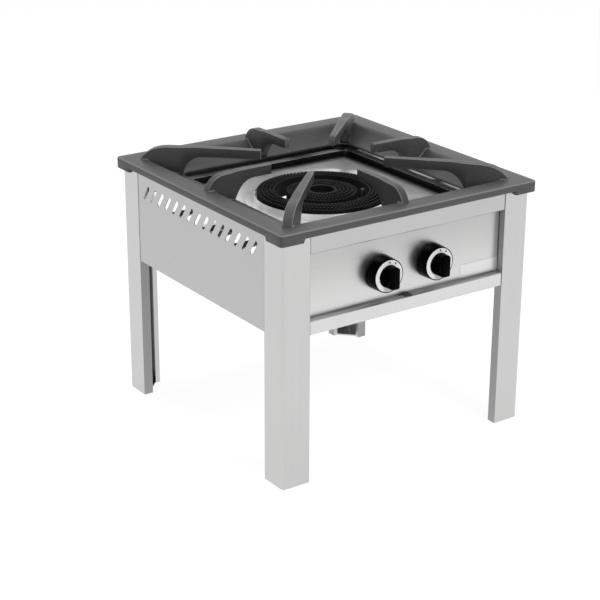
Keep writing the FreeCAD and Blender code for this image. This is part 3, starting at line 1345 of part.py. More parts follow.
tray_screws = []
for i, (sx, sy) in enumerate(((-1, -1), (1, -1), (1, 1), (-1, 1))):
    x, y = screw_x * sx, screw_y * sy
    stack = size.tray_sheet + size.bracket_sheet
    tray_screws.append(fused(
        f"tray_screw_{i}",
        cylinder(f"tray_screw_head_{i}", size.screw_head, size.screw_head / 2, x, y, size.tray_level),
        cylinder(f"tray_screw_shank_{i}", size.screw_radius, stack + 6, x, y,
                 size.tray_level - stack - 6)))
node(group("tray_screws", tray_screws), "tray_screws")


# --------------------------------------------------------------------------- check and export
doc.recompute()
for obj in doc.Objects:
    if "Invalid" in obj.State or "Error" in obj.State:
        raise RuntimeError(f"{obj.Label} failed: {obj.State}")
for obj in NODES:
    shape = obj.Shape
    if shape.isNull() or not shape.isValid():
        raise RuntimeError(f"{obj.Label} has no valid shape")
    shape.exportStep(f"parts/{obj.Label}.step")
    print(f"{obj.Label}: {len(shape.Solids)} solid(s), {shape.Volume / 1000:.1f} cm3")
print(f"{len(NODES)} sub-parts written")
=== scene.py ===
"""Looks of the stock pot range: its cast and moulded pieces, its finishes, and the studio."""

import json
import logging
import math
from collections.abc import Iterable, Sequence
from dataclasses import dataclass
from enum import Enum

import bpy
from mathutils import Matrix, Vector


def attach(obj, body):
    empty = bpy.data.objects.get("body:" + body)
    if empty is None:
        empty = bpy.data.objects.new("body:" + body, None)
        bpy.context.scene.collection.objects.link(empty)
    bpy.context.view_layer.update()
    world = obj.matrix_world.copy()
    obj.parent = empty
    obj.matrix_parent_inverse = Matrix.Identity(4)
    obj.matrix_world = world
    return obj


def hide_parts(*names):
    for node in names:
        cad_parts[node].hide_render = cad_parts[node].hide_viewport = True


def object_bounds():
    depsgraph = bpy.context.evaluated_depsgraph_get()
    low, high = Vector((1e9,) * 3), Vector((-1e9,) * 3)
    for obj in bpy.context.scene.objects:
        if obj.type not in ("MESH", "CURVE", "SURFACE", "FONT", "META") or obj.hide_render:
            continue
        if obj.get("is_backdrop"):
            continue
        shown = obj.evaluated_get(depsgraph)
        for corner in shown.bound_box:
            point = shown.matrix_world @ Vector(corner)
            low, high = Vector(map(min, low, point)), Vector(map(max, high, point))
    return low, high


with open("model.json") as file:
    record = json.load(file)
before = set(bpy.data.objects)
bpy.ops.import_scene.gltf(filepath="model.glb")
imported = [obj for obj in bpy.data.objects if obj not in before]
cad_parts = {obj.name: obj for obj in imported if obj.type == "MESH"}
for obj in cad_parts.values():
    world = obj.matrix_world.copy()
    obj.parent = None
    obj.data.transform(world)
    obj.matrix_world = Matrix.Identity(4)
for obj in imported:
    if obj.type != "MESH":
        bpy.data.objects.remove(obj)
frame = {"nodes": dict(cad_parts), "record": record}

log = logging.getLogger("stock_pot_range")

MM = 0.001
Colour = tuple[float, float, float]
Point = tuple[float, float, float]
Pair = tuple[float, float]
Ring = list[Point]


# ------------------------------------------------------------------ shader expressions
class Wire:
    """An output of a node tree; arithmetic on it adds Math nodes."""

    def __init__(self, nodes: "Nodes", socket: bpy.types.NodeSocket) -> None:
        """Keeps an output socket and the nodes that it belongs to."""
        self.nodes = nodes
        self.socket = socket

    def _math(self, operation: str, *values: "Wire | float") -> "Wire":
        """Adds one Math node on the values."""
        return self.nodes.node("ShaderNodeMath", {"operation": operation}, dict(enumerate(values)))

    def __add__(self, other: "Wire | float") -> "Wire":
        """Sum."""
        return self._math("ADD", self, other)

    def __radd__(self, other: float) -> "Wire":
        """Sum with a number in front."""
        return self._math("ADD", other, self)

    def __sub__(self, other: "Wire | float") -> "Wire":
        """Difference."""
        return self._math("SUBTRACT", self, other)

    def __rsub__(self, other: float) -> "Wire":
        """Difference from a number."""
        return self._math("SUBTRACT", other, self)

    def __mul__(self, other: "Wire | float") -> "Wire":
        """Product."""
        return self._math("MULTIPLY", self, other)

    def __rmul__(self, other: float) -> "Wire":
        """Product with a number in front."""
        return self._math("MULTIPLY", other, self)

    def absolute(self) -> "Wire":
        """The value without its sign."""
        return self._math("ABSOLUTE", self)

    def larger(self, other: "Wire | float") -> "Wire":
        """The larger of the two."""
        return self._math("MAXIMUM", self, other)

    def smaller(self, other: "Wire | float") -> "Wire":
        """The smaller of the two."""
        return self._math("MINIMUM", self, other)

    def ramp(self, low: float, high: float) -> "Wire":
        """A smooth step over the values.

        Args:
            low: The value where the step starts, at 0.
            high: The value where the step ends, at 1.

        Returns:
            The wire of the step.
        """
        return self.nodes.node(
            "ShaderNodeMapRange", {"interpolation_type": "SMOOTHSTEP"},
            {"Value": self, "From Min": low, "From Max": high})


class Nodes:
    """A node tree, and the one method that adds nodes to it."""

    def __init__(self, tree: bpy.types.NodeTree) -> None:
        """Keeps the tree."""
        self.tree = tree

    def node(self, kind: str, settings: dict[str, object] | None = None,
             values: dict[str | int, object] | None = None, out: str | int = 0) -> Wire:
        """Adds a node of any kind.

        Args:
            kind: The node's type.
            settings: Properties set before the sockets.
            values: Socket names or numbers with the values or wires that they take.
            out: Name or number of the output to read.

        Returns:
            The wire of that output.
        """
        made = self.tree.nodes.new(kind)
        for key, value in (settings or {}).items():
            setattr(made, key, value)
        for key, value in (values or {}).items():
            self.feed(made.inputs[key], value)
        return Wire(self, made.outputs[out])

    def feed(self, socket: bpy.types.NodeSocket, value: object) -> None:
        """Links a wire to a socket, or sets the socket's own value.

        Args:
            socket: The input socket.
            value: A wire, a number, a vector, or a colour without its alpha.
        """
        if isinstance(value, Wire):
            self.tree.links.new(value.socket, socket)
        elif socket.type == "RGBA":
            socket.default_value = (*value, 1.0)
        else:
            socket.default_value = value

    def seen(self) -> Wire:
        """Tells the rays that show the surroundings from those that only light by them.

        Returns:
            The wire, 1 for rays from the eye, from gloss and from glass, and 0 for the others.
        """
        eye, gloss, glass = (self.node("ShaderNodeLightPath", out=f"Is {kind} Ray")
                             for kind in ("Camera", "Glossy", "Transmission"))
        return eye.larger(gloss).larger(glass)

    def show(self, output: str, base: Wire, pale: Wire, share: Wire) -> None:
        """Sends two shaders to an output node, mixed with that share of the pale one."""
        mixed = self.node("ShaderNodeMixShader", None, {0: share, 1: base, 2: pale})
        self.feed(self.tree.nodes[output].inputs["Surface"], mixed)


class Paint(Nodes):
    """One material's node tree, with its principled shader."""

    def __init__(self, name: str) -> None:
        """Starts a material.

        Args:
            name: The material's name.
        """
        self.material = bpy.data.materials.new(name)
        self.material.use_nodes = True
        super().__init__(self.material.node_tree)
        self.shader = self.tree.nodes["Principled BSDF"]

    def place(self) -> Wire:
        """The point on the piece, in metres."""
        return self.node("ShaderNodeTexCoord", out="Object")

    def offset(self, axis: str) -> Wire:
        """The point's coordinate on one axis, in metres."""
        return self.node("ShaderNodeSeparateXYZ", None, {"Vector": self.place()}, axis)

    def reach(self) -> Wire:
        """Distance square to the sides from the middle of the range."""
        return self.offset("X").absolute().larger(self.offset("Y").absolute())

    def noise(self, stretch: Point, detail: float = 3.0, harsh: float = 0.5) -> Wire:
        """Noise over the piece.

        Args:
            stretch: Cells per metre along X, Y and Z.
            detail: Octaves of the noise.
            harsh: How much the finer octaves count.

        Returns:
            The wire of the noise, from 0 to 1.
        """
        spot = self.node("ShaderNodeVectorMath", {"operation": "MULTIPLY"},
                         {0: self.place(), 1: stretch})
        return self.node("ShaderNodeTexNoise", None,
                         {"Vector": spot, "Scale": 1.0, "Detail": detail, "Roughness": harsh})

    def grit(self, per_metre: float, detail: float = 3.0, harsh: float = 0.5) -> Wire:
        """Noise with as many cells per metre along each axis."""
        return self.noise((per_metre,) * 3, detail, harsh)

    def cells(self, per_metre: float) -> Wire:
        """A random colour in each of the cells over the piece."""
        return self.node("ShaderNodeTexVoronoi", None,
                         {"Vector": self.place(), "Scale": per_metre}, "Color")

    def between(self, factor: Wire, low: "Colour | Wire", high: "Colour | Wire") -> Wire:
        """A colour from low to high by the factor."""
        return self.node("ShaderNodeMix", {"data_type": "RGBA"},
                         {"Factor": factor, 6: low, 7: high}, 2)

    def bump(self, height: Wire, depth: float, strength: float) -> Wire:
        """A normal from a height, with the relief's depth in metres."""
        return self.node("ShaderNodeBump", None,
                         {"Height": height, "Distance": depth, "Strength": strength})

    def dress(self, **values: object) -> bpy.types.Material:
        """Feeds the principled shader and hands over the material.

        Args:
            **values: The shader's sockets, with an underscore for each space.

        Returns:
            The finished material.
        """
        for key, value in values.items():
            self.feed(self.shader.inputs[key.replace("_", " ")], value)
        return self.material


# ------------------------------------------------------------------ finishes
class Grain(Enum):
    """The direction in which a sheet is brushed."""

    X = 0
    Y = 1
    Z = 2

    def stretch(self, across: float, along: float) -> Point:
        """Cells per metre across and along the grain."""
        return tuple(along if axis == self.value else across for axis in range(3))


@dataclass(frozen=True)
class Finish:
    """A finish by its name, with its main tone and its roughness."""

    name: str
    tone: Colour
    roughness: float

    def shaded(self, share: float) -> Colour:
        """The tone made lighter or darker."""
        return tuple(min(1.0, channel * share) for channel in self.tone)

    def shades(self, paint: Paint, factor: Wire, low: float, high: float) -> Wire:
        """The tone from low times to high times as light, by the factor."""
        return paint.between(factor, self.shaded(low), self.shaded(high))


@dataclass(frozen=True)
class BrushedSheet(Finish):
    """Stainless sheet with a fine brushed grain and faint wiping marks.

    Where shade_within is above 0, the faces nearer to the burner's axis than that distance
    along one of shade_axes, in metres, are rougher and get the painted shade shade_tone. Where
    fade_span is above 0, the sheet is painted lighter below the level fade_start, in metres, as
    painted reflection, and grows darker up through that span, as painted shade.
    """

    grain: Grain
    shade_within: float = 0.0
    shade_axes: str = "Y"
    shade_tone: Colour = (0.03, 0.029, 0.028)
    shade_blur: float = 0.0002
    fade_start: float = 0.0
    fade_span: float = 0.0
    fade_depth: float = 0.14
    relief: float = 0.00005

    def unshaded_faces(self, paint: Paint) -> Wire:
        """Tells the faces outside the painted shade from those under it.

        Args:
            paint: The material.

        Returns:
            The wire, 1 on the faces outside the painted shade and 0 on those under it.
        """
        nearest = paint.offset(self.shade_axes[0]).absolute()
        for axis in self.shade_axes[1:]:
            nearest = nearest.smaller(paint.offset(axis).absolute())
        return nearest.ramp(self.shade_within - self.shade_blur, self.shade_within + self.shade_blur)

    def brushed(self, paint: Paint, shade: Wire, share: float) -> Wire:
        """The brushed tone, made lighter or darker by the share."""
        return self.shades(paint, shade.ramp(0.2, 0.8), 0.95 * share, 1.04 * share)

    def build(self) -> bpy.types.Material:
        """Makes the sheet's material.

        Returns:
            The finished material.
        """
        paint = Paint(self.name)
        fine = paint.noise(self.grain.stretch(1500.0, 16.0), harsh=0.6)
        band = paint.noise(self.grain.stretch(210.0, 2.2), harsh=0.6)
        wiped = paint.grit(7.0, harsh=0.55)
        shade = fine * 0.5 + band * 0.25 + wiped * 0.25
        tone = self.brushed(paint, shade, 1.0)
        # Painted reflection low on the sheet and painted shade higher up: lighter below fade_start,
        # darker above.
        if self.fade_span:
            fade = paint.offset("Z").ramp(self.fade_start, self.fade_start + self.fade_span)
            tone = paint.between(fade, self.brushed(paint, shade, 1 + self.fade_depth),
                                 self.brushed(paint, shade, 1 - self.fade_depth))
        roughness = self.roughness - 0.05 + fine * 0.06 + wiped * 0.06
        # Painted shade: the faces inside shade_within take shade_tone and grow rougher.
        if self.shade_within:
            unshaded_faces = self.unshaded_faces(paint)
            tone = paint.between(unshaded_faces, self.shade_tone, tone)
            roughness = roughness + (1 - unshaded_faces) * 0.2
        return paint.dress(Base_Color=tone, Metallic=1.0, Roughness=roughness,
                           Normal=paint.bump(fine * 0.8 + band * 0.2, self.relief, 0.3))


@dataclass(frozen=True)
class RolledSheet(Finish):
    """Bright pressed sheet, with painted shade along its walls under the pan support, and a dull
    pale lip.

    The painted shade grows from wall_shade_start to wall_shade_full, both distances from the
    middle in metres, with an uneven edge. Faces above lip_level, in metres, are the lip.
    """

    wall_shade: Colour
    wall_shade_start: float
    wall_shade_full: float
    lip_level: float
    lip_blur: float = 0.0003
    unevenness: float = 0.005

    def build(self) -> bpy.types.Material:
        """Makes the tray's material.

        Returns:
            The finished material.
        """
        paint = Paint(self.name)
        cloud = paint.grit(7.0, 1.0, 0.4)
        edge = paint.grit(22.0, 1.0)
        reach = paint.reach() + (edge - 0.5) * self.unevenness
        lip = paint.offset("Z").ramp(self.lip_level - self.lip_blur, self.lip_level)
        # Painted shade near the walls, where the pan support shades the tray; the lip is left out of
        # it.
        in_wall_shade = reach.ramp(self.wall_shade_start, self.wall_shade_full) * (1 - lip)
        unshaded = self.shades(paint, cloud.ramp(0.3, 0.75), 0.96, 1.03)
        return paint.dress(
            Base_Color=paint.between(in_wall_shade, unshaded, self.wall_shade),
            Metallic=0.65 - lip * 0.5,
            Roughness=self.roughness + cloud * 0.02 + in_wall_shade * 0.35)


@dataclass(frozen=True)
class CastIron(Finish):
    """Cast iron with a sandy skin, enamelled or left uncoated.

    The skin goes from its tone to the light tone, and the painted highlight shows the highlit
    tone along the marked edges. Faces below shade_level, in metres, are painted darker up to
    the distance shade_reach from the burner's axis, as painted shade, and outside it the skirt
    is painted lighter towards the rim's tone, as painted light.
    """

    light: Colour
    sand: float
    relief: float
    gloss: float
    highlit: Colour = (0.2, 0.2, 0.2)
    # Tone of the painted light on the outer skirt.
    rim: Colour = (0.0783, 0.0783, 0.07965)
    shade_level: float = 0.0
    shade_reach: float = 0.0

    def shade_and_light(self, paint: Paint, tone: Wire) -> Wire:
        """The colour with painted shade on the low faces near the burner, and painted light on the
        skirt outside them.

        Args:
            paint: The material.
            tone: Its colour without painted shade or light.

        Returns:
            The wire of the colour with painted shade and light.
        """
        # Painted shade on the low faces inside the rim, painted light on the skirt outside it.
        reach = paint.reach()
        unshaded = paint.offset("Z").ramp(self.shade_level - 0.03, self.shade_level).larger(
            reach.ramp(self.shade_reach - 0.004, self.shade_reach + 0.004))
        outside = reach.ramp(self.shade_reach + 0.001, self.shade_reach + 0.008)
        return paint.between(outside * 0.6, paint.between(unshaded, self.shaded(0.55), tone), self.rim)

    def build(self) -> bpy.types.Material:
        """Makes the iron's material.

        Returns:
            The finished material.
        """
        paint = Paint(self.name)
        grit = paint.grit(self.sand, 4.0, 0.62)
        lumps = paint.grit(self.sand * 0.22, harsh=0.55)
        cloud = paint.grit(9.0, harsh=0.6)
        shade = grit * 0.35 + lumps * 0.3 + cloud * 0.35
        tone = paint.between(shade.ramp(0.3, 0.72), self.tone, self.light)
        if self.shade_level:
            tone = self.shade_and_light(paint, tone)
        # Painted highlight along the marked edges and tips, broken up by the grit.
        highlight_mask = paint.node("ShaderNodeAttribute", {"attribute_name": "edge_highlight"}, out="Fac")
        return paint.dress(
            Base_Color=paint.between(highlight_mask * (0.45 + grit * 0.7), tone, self.highlit),
            Roughness=self.roughness - 0.06 + grit * 0.08 + cloud * 0.06,
            Specular_IOR_Level=self.gloss,
            Normal=paint.bump(grit * 0.6 + lumps * 0.4, self.relief, 0.5))


@dataclass(frozen=True)
class Moulded(Finish):
    """Moulded plastic with a faint flow in its gloss."""

    gloss: float
    relief: float = 0.00005

    def build(self) -> bpy.types.Material:
        """Makes the plastic's material.

        Returns:
            The finished material.
        """
        paint = Paint(self.name)
        flow = paint.grit(90.0, 2.0)
        dust = paint.grit(900.0, 2.0, 0.7)
        return paint.dress(
            Base_Color=self.shades(paint, dust.ramp(0.35, 0.8), 0.9, 1.2),
            Roughness=self.roughness + flow * 0.05 + dust * 0.03,
            Specular_IOR_Level=self.gloss,
            Normal=paint.bump(flow, self.relief, 0.2))


@dataclass(frozen=True)
class ZincPlate(Finish):
    """Zinc plated sheet with a fine spangle."""

    flakes: float = 260.0
    relief: float = 0.0002

    def build(self) -> bpy.types.Material:
        """Makes the plated sheet's material.

        Returns:
            The finished material.
        """
        paint = Paint(self.name)
        flake = paint.node("ShaderNodeSeparateColor", None, {"Color": paint.cells(self.flakes)})
        cloud = paint.grit(14.0, harsh=0.6)
        return paint.dress(
            Base_Color=self.shades(paint, flake * 0.5 + cloud * 0.5, 0.86, 1.08),
            Metallic=1.0,
            Roughness=self.roughness - 0.05 + flake * 0.12,
            Normal=paint.bump(cloud, self.relief, 0.15))


@dataclass(frozen=True)
class TurnedMetal(Finish):
    """Machined metal with fine tool marks round the Y axis and slight tarnish."""

    tarnish: Colour
    marks: Point = (300.0, 2600.0, 300.0)
    relief: float = 0.00004

    def build(self) -> bpy.types.Material:
        """Makes the metal's material.

        Returns:
            The finished material.
        """
        paint = Paint(self.name)
        marks = paint.noise(self.marks, 2.0)
        cloud = paint.grit(45.0, 4.0, 0.6)
        return paint.dress(
            Base_Color=paint.between(cloud.ramp(0.35, 0.75), self.tone, self.tarnish),
            Metallic=1.0,
            Roughness=self.roughness + marks * 0.08 + cloud * 0.08,
            Normal=paint.bump(marks, self.relief, 0.3))


@dataclass(frozen=True)
class PaintedPipe(Finish):
    """Painted steel pipe with orange peel."""

    peel: float = 420.0
    relief: float = 0.0001

    def build(self) -> bpy.types.Material:
        """Makes the paint's material.

        Returns:
            The finished material.
        """
        paint = Paint(self.name)
        peel = paint.grit(self.peel, 2.0)
        return paint.dress(
            Base_Color=self.shades(paint, paint.grit(11.0), 0.88, 1.1),
            Roughness=self.roughness + peel * 0.06,
            Normal=paint.bump(peel, self.relief, 0.3))


class Finishes:
    """Every finish of the range, each built once."""

    def __init__(self) -> None:
        """Builds the materials."""
        stainless: Colour = (0.585, 0.585, 0.58)
        self.plain = BrushedSheet("stainless_grain_x", stainless, 0.3, Grain.X).build()
        # Legs: painted shade on their inner faces, towards the middle of the range.
        self.leg = BrushedSheet("leg_stainless", stainless, 0.3, Grain.Z, shade_within=0.2305,
                                shade_axes="XY", shade_tone=(0.37, 0.37, 0.368)).build()
        # Control panel: painted reflection low down and painted shade towards the top.
        self.panel = BrushedSheet("panel_stainless", stainless, 0.3, Grain.X, fade_start=0.33,
                                  fade_span=0.14).build()
        # Painted shade: the upper rail is a darker copy of the stainless, with its inner faces
        # painted near black.
        self.shaded_rail = BrushedSheet("shaded_rail_stainless", (0.53, 0.53, 0.526), 0.3, Grain.X,
                                 shade_within=0.2894).build()
        # Painted light: the lower front rail is a lighter copy of the stainless.
        self.lit_lower_rail = BrushedSheet("lit_lower_rail_stainless", (0.68, 0.68, 0.675), 0.3,
                                        Grain.X).build()
        # Painted shade: the side panels are a darker copy of the stainless.
        self.side = BrushedSheet("shaded_side_stainless", (0.49, 0.49, 0.487), 0.3, Grain.Y).build()
        self.plate = BrushedSheet("bare_plate_steel", (0.74, 0.74, 0.74), 0.34, Grain.X).build()
        self.tray = RolledSheet("tray_steel", (0.87, 0.87, 0.865), 0.24,
                                wall_shade=(0.006, 0.0059, 0.0058), wall_shade_start=0.184,
                                wall_shade_full=0.219, lip_level=0.4566).build()
        self.enamel = CastIron("grate_enamel", (0.032, 0.032, 0.0325), 0.42,
                               light=(0.058, 0.058, 0.059), sand=900.0, relief=0.00022,
                               gloss=0.5, shade_level=0.506, shade_reach=0.29).build()
        self.burner = CastIron("burner_iron", (0.004, 0.004, 0.004), 0.58,
                               light=(0.011, 0.011, 0.011), sand=700.0, relief=0.0003,
                               gloss=0.12).build()
        self.soot = CastIron("sooty_steel", (0.012, 0.012, 0.012), 0.5,
                             light=(0.05, 0.048, 0.045), sand=900.0, relief=0.0001,
                             gloss=0.3).build()
        self.knob = Moulded("knob_black", (0.001, 0.001, 0.0011), 0.1, gloss=0.02).build()
        self.dial = Moulded("dial_white", (0.95, 0.95, 0.95), 0.34, gloss=0.3).build()
        self.mark = Moulded("dial_mark_black", (0.004, 0.004, 0.004), 0.4, gloss=0.1).build()
        self.zinc = ZincPlate("zinc_plate", (0.53, 0.54, 0.55), 0.36).build()
        self.brass = TurnedMetal("tap_brass", (0.7, 0.52, 0.26), 0.26,
                                 tarnish=(0.5, 0.36, 0.2)).build()
        self.bright = TurnedMetal("bright_steel", (0.6, 0.6, 0.6), 0.28,
                                  tarnish=(0.46, 0.46, 0.45)).build()
        self.tube = TurnedMetal("drawn_tube", (0.68, 0.68, 0.69), 0.3,
                                tarnish=(0.55, 0.55, 0.55)).build()
        self.pipe = PaintedPipe("pipe_paint", (0.33, 0.34, 0.35), 0.42).build()


# ------------------------------------------------------------------ mesh making
def mesh_piece(name: str, points: Iterable[Point], faces: Iterable[Sequence[int]],
               material: bpy.types.Material, crease: float = 40.0,
               edge_highlight: Sequence[float] = ()) -> bpy.types.Object:
    """A smooth shaded mesh object with sharp edges kept.

    Args:
        name: The piece's name.
        points: Its vertices, in millimetres.
        faces: Its faces, as vertex numbers.
        material: Its finish.
        crease: Edges that turn more than this many degrees stay sharp.
        edge_highlight: How strong the painted highlight is at each vertex, from 0 to 1.

    Returns:
        The object, linked to the scene.
    """
    mesh = bpy.data.meshes.new(name)
    mesh.from_pydata([(x * MM, y * MM, z * MM) for x, y, z in points], [], list(faces))
    if edge_highlight:
        mesh.attributes.new("edge_highlight", "FLOAT", "POINT").data.foreach_set("value", list(edge_highlight))
    mesh.validate()
    mesh.materials.append(material)
    mesh.polygons.foreach_set("use_smooth", [True] * len(mesh.polygons))
    mesh.update()
    mesh.set_sharp_from_angle(angle=math.radians(crease))
    piece = bpy.data.objects.new(name, mesh)
    bpy.context.scene.collection.objects.link(piece)
    return piece


class Weave:
    """Vertices and faces gathered from rings of points."""

    def __init__(self) -> None:
        """Starts empty."""
        self.points: list[Point] = []
        self.faces: list[tuple[int, ...]] = []
        self.edge_highlight: list[float] = []

    def skin(self, rings: Sequence[Ring], closed: bool = False,
             edge_highlight: Sequence[Sequence[float]] = ()) -> None:
        """Adds the quads between following rings.

        Args:
            rings: Rings of equally many points, each closed on itself.
            closed: Joins the last ring to the first, where a face closes each otherwise.
            edge_highlight: How strong the painted highlight is at each point of each ring.
        """
        base, count = len(self.points), len(rings[0])
        for ring in rings:
            self.points.extend(ring)
        for highlit in edge_highlight:
            self.edge_highlight.extend(highlit)
        total = len(rings)
        for i in range(total if closed else total - 1):
            here, there = base + i * count, base + ((i + 1) % total) * count
            for j in range(count):
                k = (j + 1) % count
                self.faces.append((here + j, here + k, there + k, there + j))
        if not closed:
            self.faces.append(tuple(base + j for j in reversed(range(count))))
            self.faces.append(tuple(base + (total - 1) * count + j for j in range(count)))


def bent(start: Sequence[float], pole: Sequence[float], end: Sequence[float], t: float) -> Pair:
    """A point of the curve from start to end that bends towards the pole, at t from 0 to 1."""
    return tuple((1 - t) ** 2 * a + 2 * t * (1 - t) * b + t ** 2 * c
                 for a, b, c in zip(start, pole, end))


def cubic(poles: Sequence[Pair], steps: int) -> list[Pair]:
    """Points along a cubic curve.

    Args:
        poles: The curve's four control points.
        steps: How many steps it is cut into.

    Returns:
        The points, one more than the steps.
    """
    spots = []
    for i in range(steps + 1):
        t = i / steps
        weights = ((1 - t) ** 3, 3 * t * (1 - t) ** 2, 3 * t * t * (1 - t), t ** 3)
        spots.append(tuple(sum(w * p[k] for w, p in zip(weights, poles)) for k in (0, 1)))
    return spots


def level_at(line: Sequence[Pair], out: float) -> float:
    """The level of a line at a distance.

    Args:
        line: Distance and level of its points, in order.
        out: The distance.

    Returns:
        The level there, or the last point's level outside the line.
    """
    for (a, low), (b, high) in zip(line, line[1:]):
        if a <= out <= b:
            return low + (high - low) * (out - a) / max(b - a, 1e-9)
    return line[-1][1]


def softened(corners: Sequence[tuple[float, float, float]], steps: int,
             longest: float = 0.49) -> list[Pair]:
    """A path whose corners are rounded.

    Args:
        corners: First and second coordinate and radius of each corner.
        steps: Segments of each rounded corner.
        longest: The most of a side that one rounded corner takes.

    Returns:
        The points of the path.
    """
    path: list[Pair] = []
    for i, (u, v, radius) in enumerate(corners):
        here = Vector((u, v))
        if radius <= 0 or i in (0, len(corners) - 1):
            path.append((u, v))
            continue
        back = Vector(corners[i - 1][:2]) - here
        ahead = Vector(corners[i + 1][:2]) - here
        reach = min(radius / math.tan(back.angle(ahead) / 2),
                    back.length * longest, ahead.length * longest)
        start, end = here + back.normalized() * reach, here + ahead.normalized() * reach
        path.extend(bent(start, here, end, step / steps) for step in range(steps + 1))
    return path


def lathe(path: Sequence[Pair], segments: int) -> list[Ring]:
    """Rings of a turned shape about the Z axis, from radius and height pairs."""
    turns = [2 * math.pi * i / segments for i in range(segments)]
    return [[(r * math.cos(a), r * math.sin(a), z) for a in turns] for r, z in path]


# ------------------------------------------------------------------ pan support
@dataclass(frozen=True)
class Finger:
    """One kind of finger, with where its root ends and its foot starts. Sizes in millimetres."""

    base: float
    slope: float
    foot: float
    width: float
    diagonal: bool


@dataclass
class PanSupport:
    """Cast pan support: rim with skirt, cove and the arched fingers. Sizes in millimetres.

    The rings have vertices at side_steps, as shares of half a straight side, and the deeper
    corner pads start at the share pad_start.
    """

    finishes: Finishes
    half: float = 300.0
    top: float = 507.0
    under: float = 498.0
    rim: float = 44.0
    skirt: float = 14.0
    wall: float = 8.0
    pad: float = 22.0
    corner: float = 8.0
    inner_corner: float = 4.0
    mouth: float = 205.0
    mouth_corner: float = 20.0
    drop: float = 27.0
    shell: float = 4.0
    finger_top: float = 538.0
    fall: float = 2.5
    tip: float = 124.0
    tip_height: float = 20.0
    tip_width: float = 12.0
    corner_width: float = 19.0
    middle_width: float = 16.0
    corner_slope: float = 67.0
    middle_slope: float = 43.0
    seat: float = 16.0
    arch: float = 45.0
    foot: float = 4.0
    edge: float = 1.4
    flare: float = 2.8
    rim_edge: float = 2.2
    blend: float = 5.0
    blend_end: float = 0.16
    cove_corner: float = 16.0
    cove_out: float = 0.68
    cove_down: float = 0.85
    crease: float = 50.0
    arc_steps: int = 8
    side_steps: tuple[float, ...] = (
        -0.86, -0.848, -0.7, -0.5, -0.25, 0.0, 0.25, 0.5, 0.7, 0.848, 0.86)
    pad_start: float = 0.855

    def cove(self, t: float) -> Pair:
        """A point of the cove's surface.

        Args:
            t: How far down the cove it lies, from the rim at 0 to the mouth at 1.

        Returns:
            Its distance from the middle and its height.
        """
        start = self.half - self.rim
        pole = (self.mouth + (start - self.mouth) * self.cove_out,
                self.top - self.drop * self.cove_down)
        return bent((start, self.top), pole, (self.mouth, self.top - self.drop), t)

    def cove_radius(self, t: float) -> float:
        """Radius of the cove's corners, from the rim at 0 to the mouth at 1."""
        return self.cove_corner + (self.mouth_corner - self.cove_corner) * t

    def cove_level(self, out: float) -> float:
        """Finds the height of the cove's surface by halving.

        Args:
            out: The distance from the middle.

        Returns:
            The height there, which is the rim's outside the cove.
        """
        if out >= self.half - self.rim:
            return self.top
        low, high = 0.0, 1.0
        for _ in range(30):
            middle = (low + high) / 2
            if self.cove(middle)[0] > out:
                low = middle
            else:
                high = middle
        return self.cove(low)[1]

    def loop(self, half: float, corner: float, level: float, padded: float = 0.0) -> Ring:
        """One closed ring of the rim.

        Args:
            half: Half of the ring's square.
            corner: Radius of its corners.
            level: Its height between the corner pads.
            padded: How much lower it is at the corner pads.

        Returns:
            The ring's points.
        """
        ring: Ring = []
        straight = half - corner
        for quarter in range(4):
            turn = Matrix.Rotation(math.pi / 2 * quarter, 3, "Z")
            for step in self.side_steps:
                low = padded if abs(step) > self.pad_start else 0.0
                ring.append(tuple(turn @ Vector((half, straight * step, level - low))))
            for i in range(self.arc_steps + 1):
                angle = math.pi / 2 * i / self.arc_steps
                spot = Vector((straight + corner * math.cos(angle),
                               straight + corner * math.sin(angle), level - padded))
                ring.append(tuple(turn @ spot))
        return ring

    def rim_rings(self) -> tuple[list[Ring], list[list[float]]]:
        """The rings of the rim, from inside the skirt round to the cove's underside.

        Returns:
            The rings and how strong the painted highlight is at each of their points.
        """
        skirt_low = self.top - self.skirt
        deeper = self.pad - self.skirt
        inner = self.half - self.wall
        rings = [self.loop(inner, self.inner_corner, self.under),
                 self.loop(inner, self.inner_corner, skirt_low + 0.8, deeper),
                 self.loop(inner + 0.8, self.inner_corner + 0.4, skirt_low, deeper),
                 self.loop(self.half - 1.2, self.corner - 1.2, skirt_low, deeper),
                 self.loop(self.half - 0.35, self.corner - 0.35, skirt_low + 0.35, deeper),
                 self.loop(self.half, self.corner, skirt_low + 1.2, deeper)]
        edge_ring = len(rings)
        for i in range(6):
            angle = math.pi / 2 * i / 5
            inset = self.rim_edge - self.rim_edge * math.cos(angle)
            rings.append(self.loop(self.half - inset, self.corner - inset,
                                   self.top - self.rim_edge + self.rim_edge * math.sin(angle)))
        rim_inner = self.half - self.rim
        start, pole = (rim_inner + self.blend, self.top), (rim_inner + 0.4, self.top)
        for i in range(6):
            out, level = bent(start, pole, self.cove(self.blend_end), i / 5)
            rings.append(self.loop(out, self.cove_corner - 1.0, level))
        for i in range(1, 12):
            t = self.blend_end + (0.97 - self.blend_end) * i / 11
            out, level = self.cove(t)
            rings.append(self.loop(out, self.cove_radius(t), level))
        # The mouth's lip: distance outside the mouth and level of each ring.
        low = self.top - self.drop
        for out, level in ((1.2, low - 0.1), (0.3, low - 0.6), (0.0, low - 1.5),
                           (0.0, low - self.shell + 1.2), (0.6, low - self.shell + 0.2),
                           (1.6, low - self.shell)):
            rings.append(self.loop(self.mouth + out, self.mouth_corner, level))
        for i in range(1, 7):
            t = 1 - i / 6
            out, level = self.cove(t)
            swell = self.shell * (1 - t)
            rings.append(self.loop(out + swell + 1.6 * t, self.cove_radius(t) + swell,
                                   level - self.shell - swell / 2))
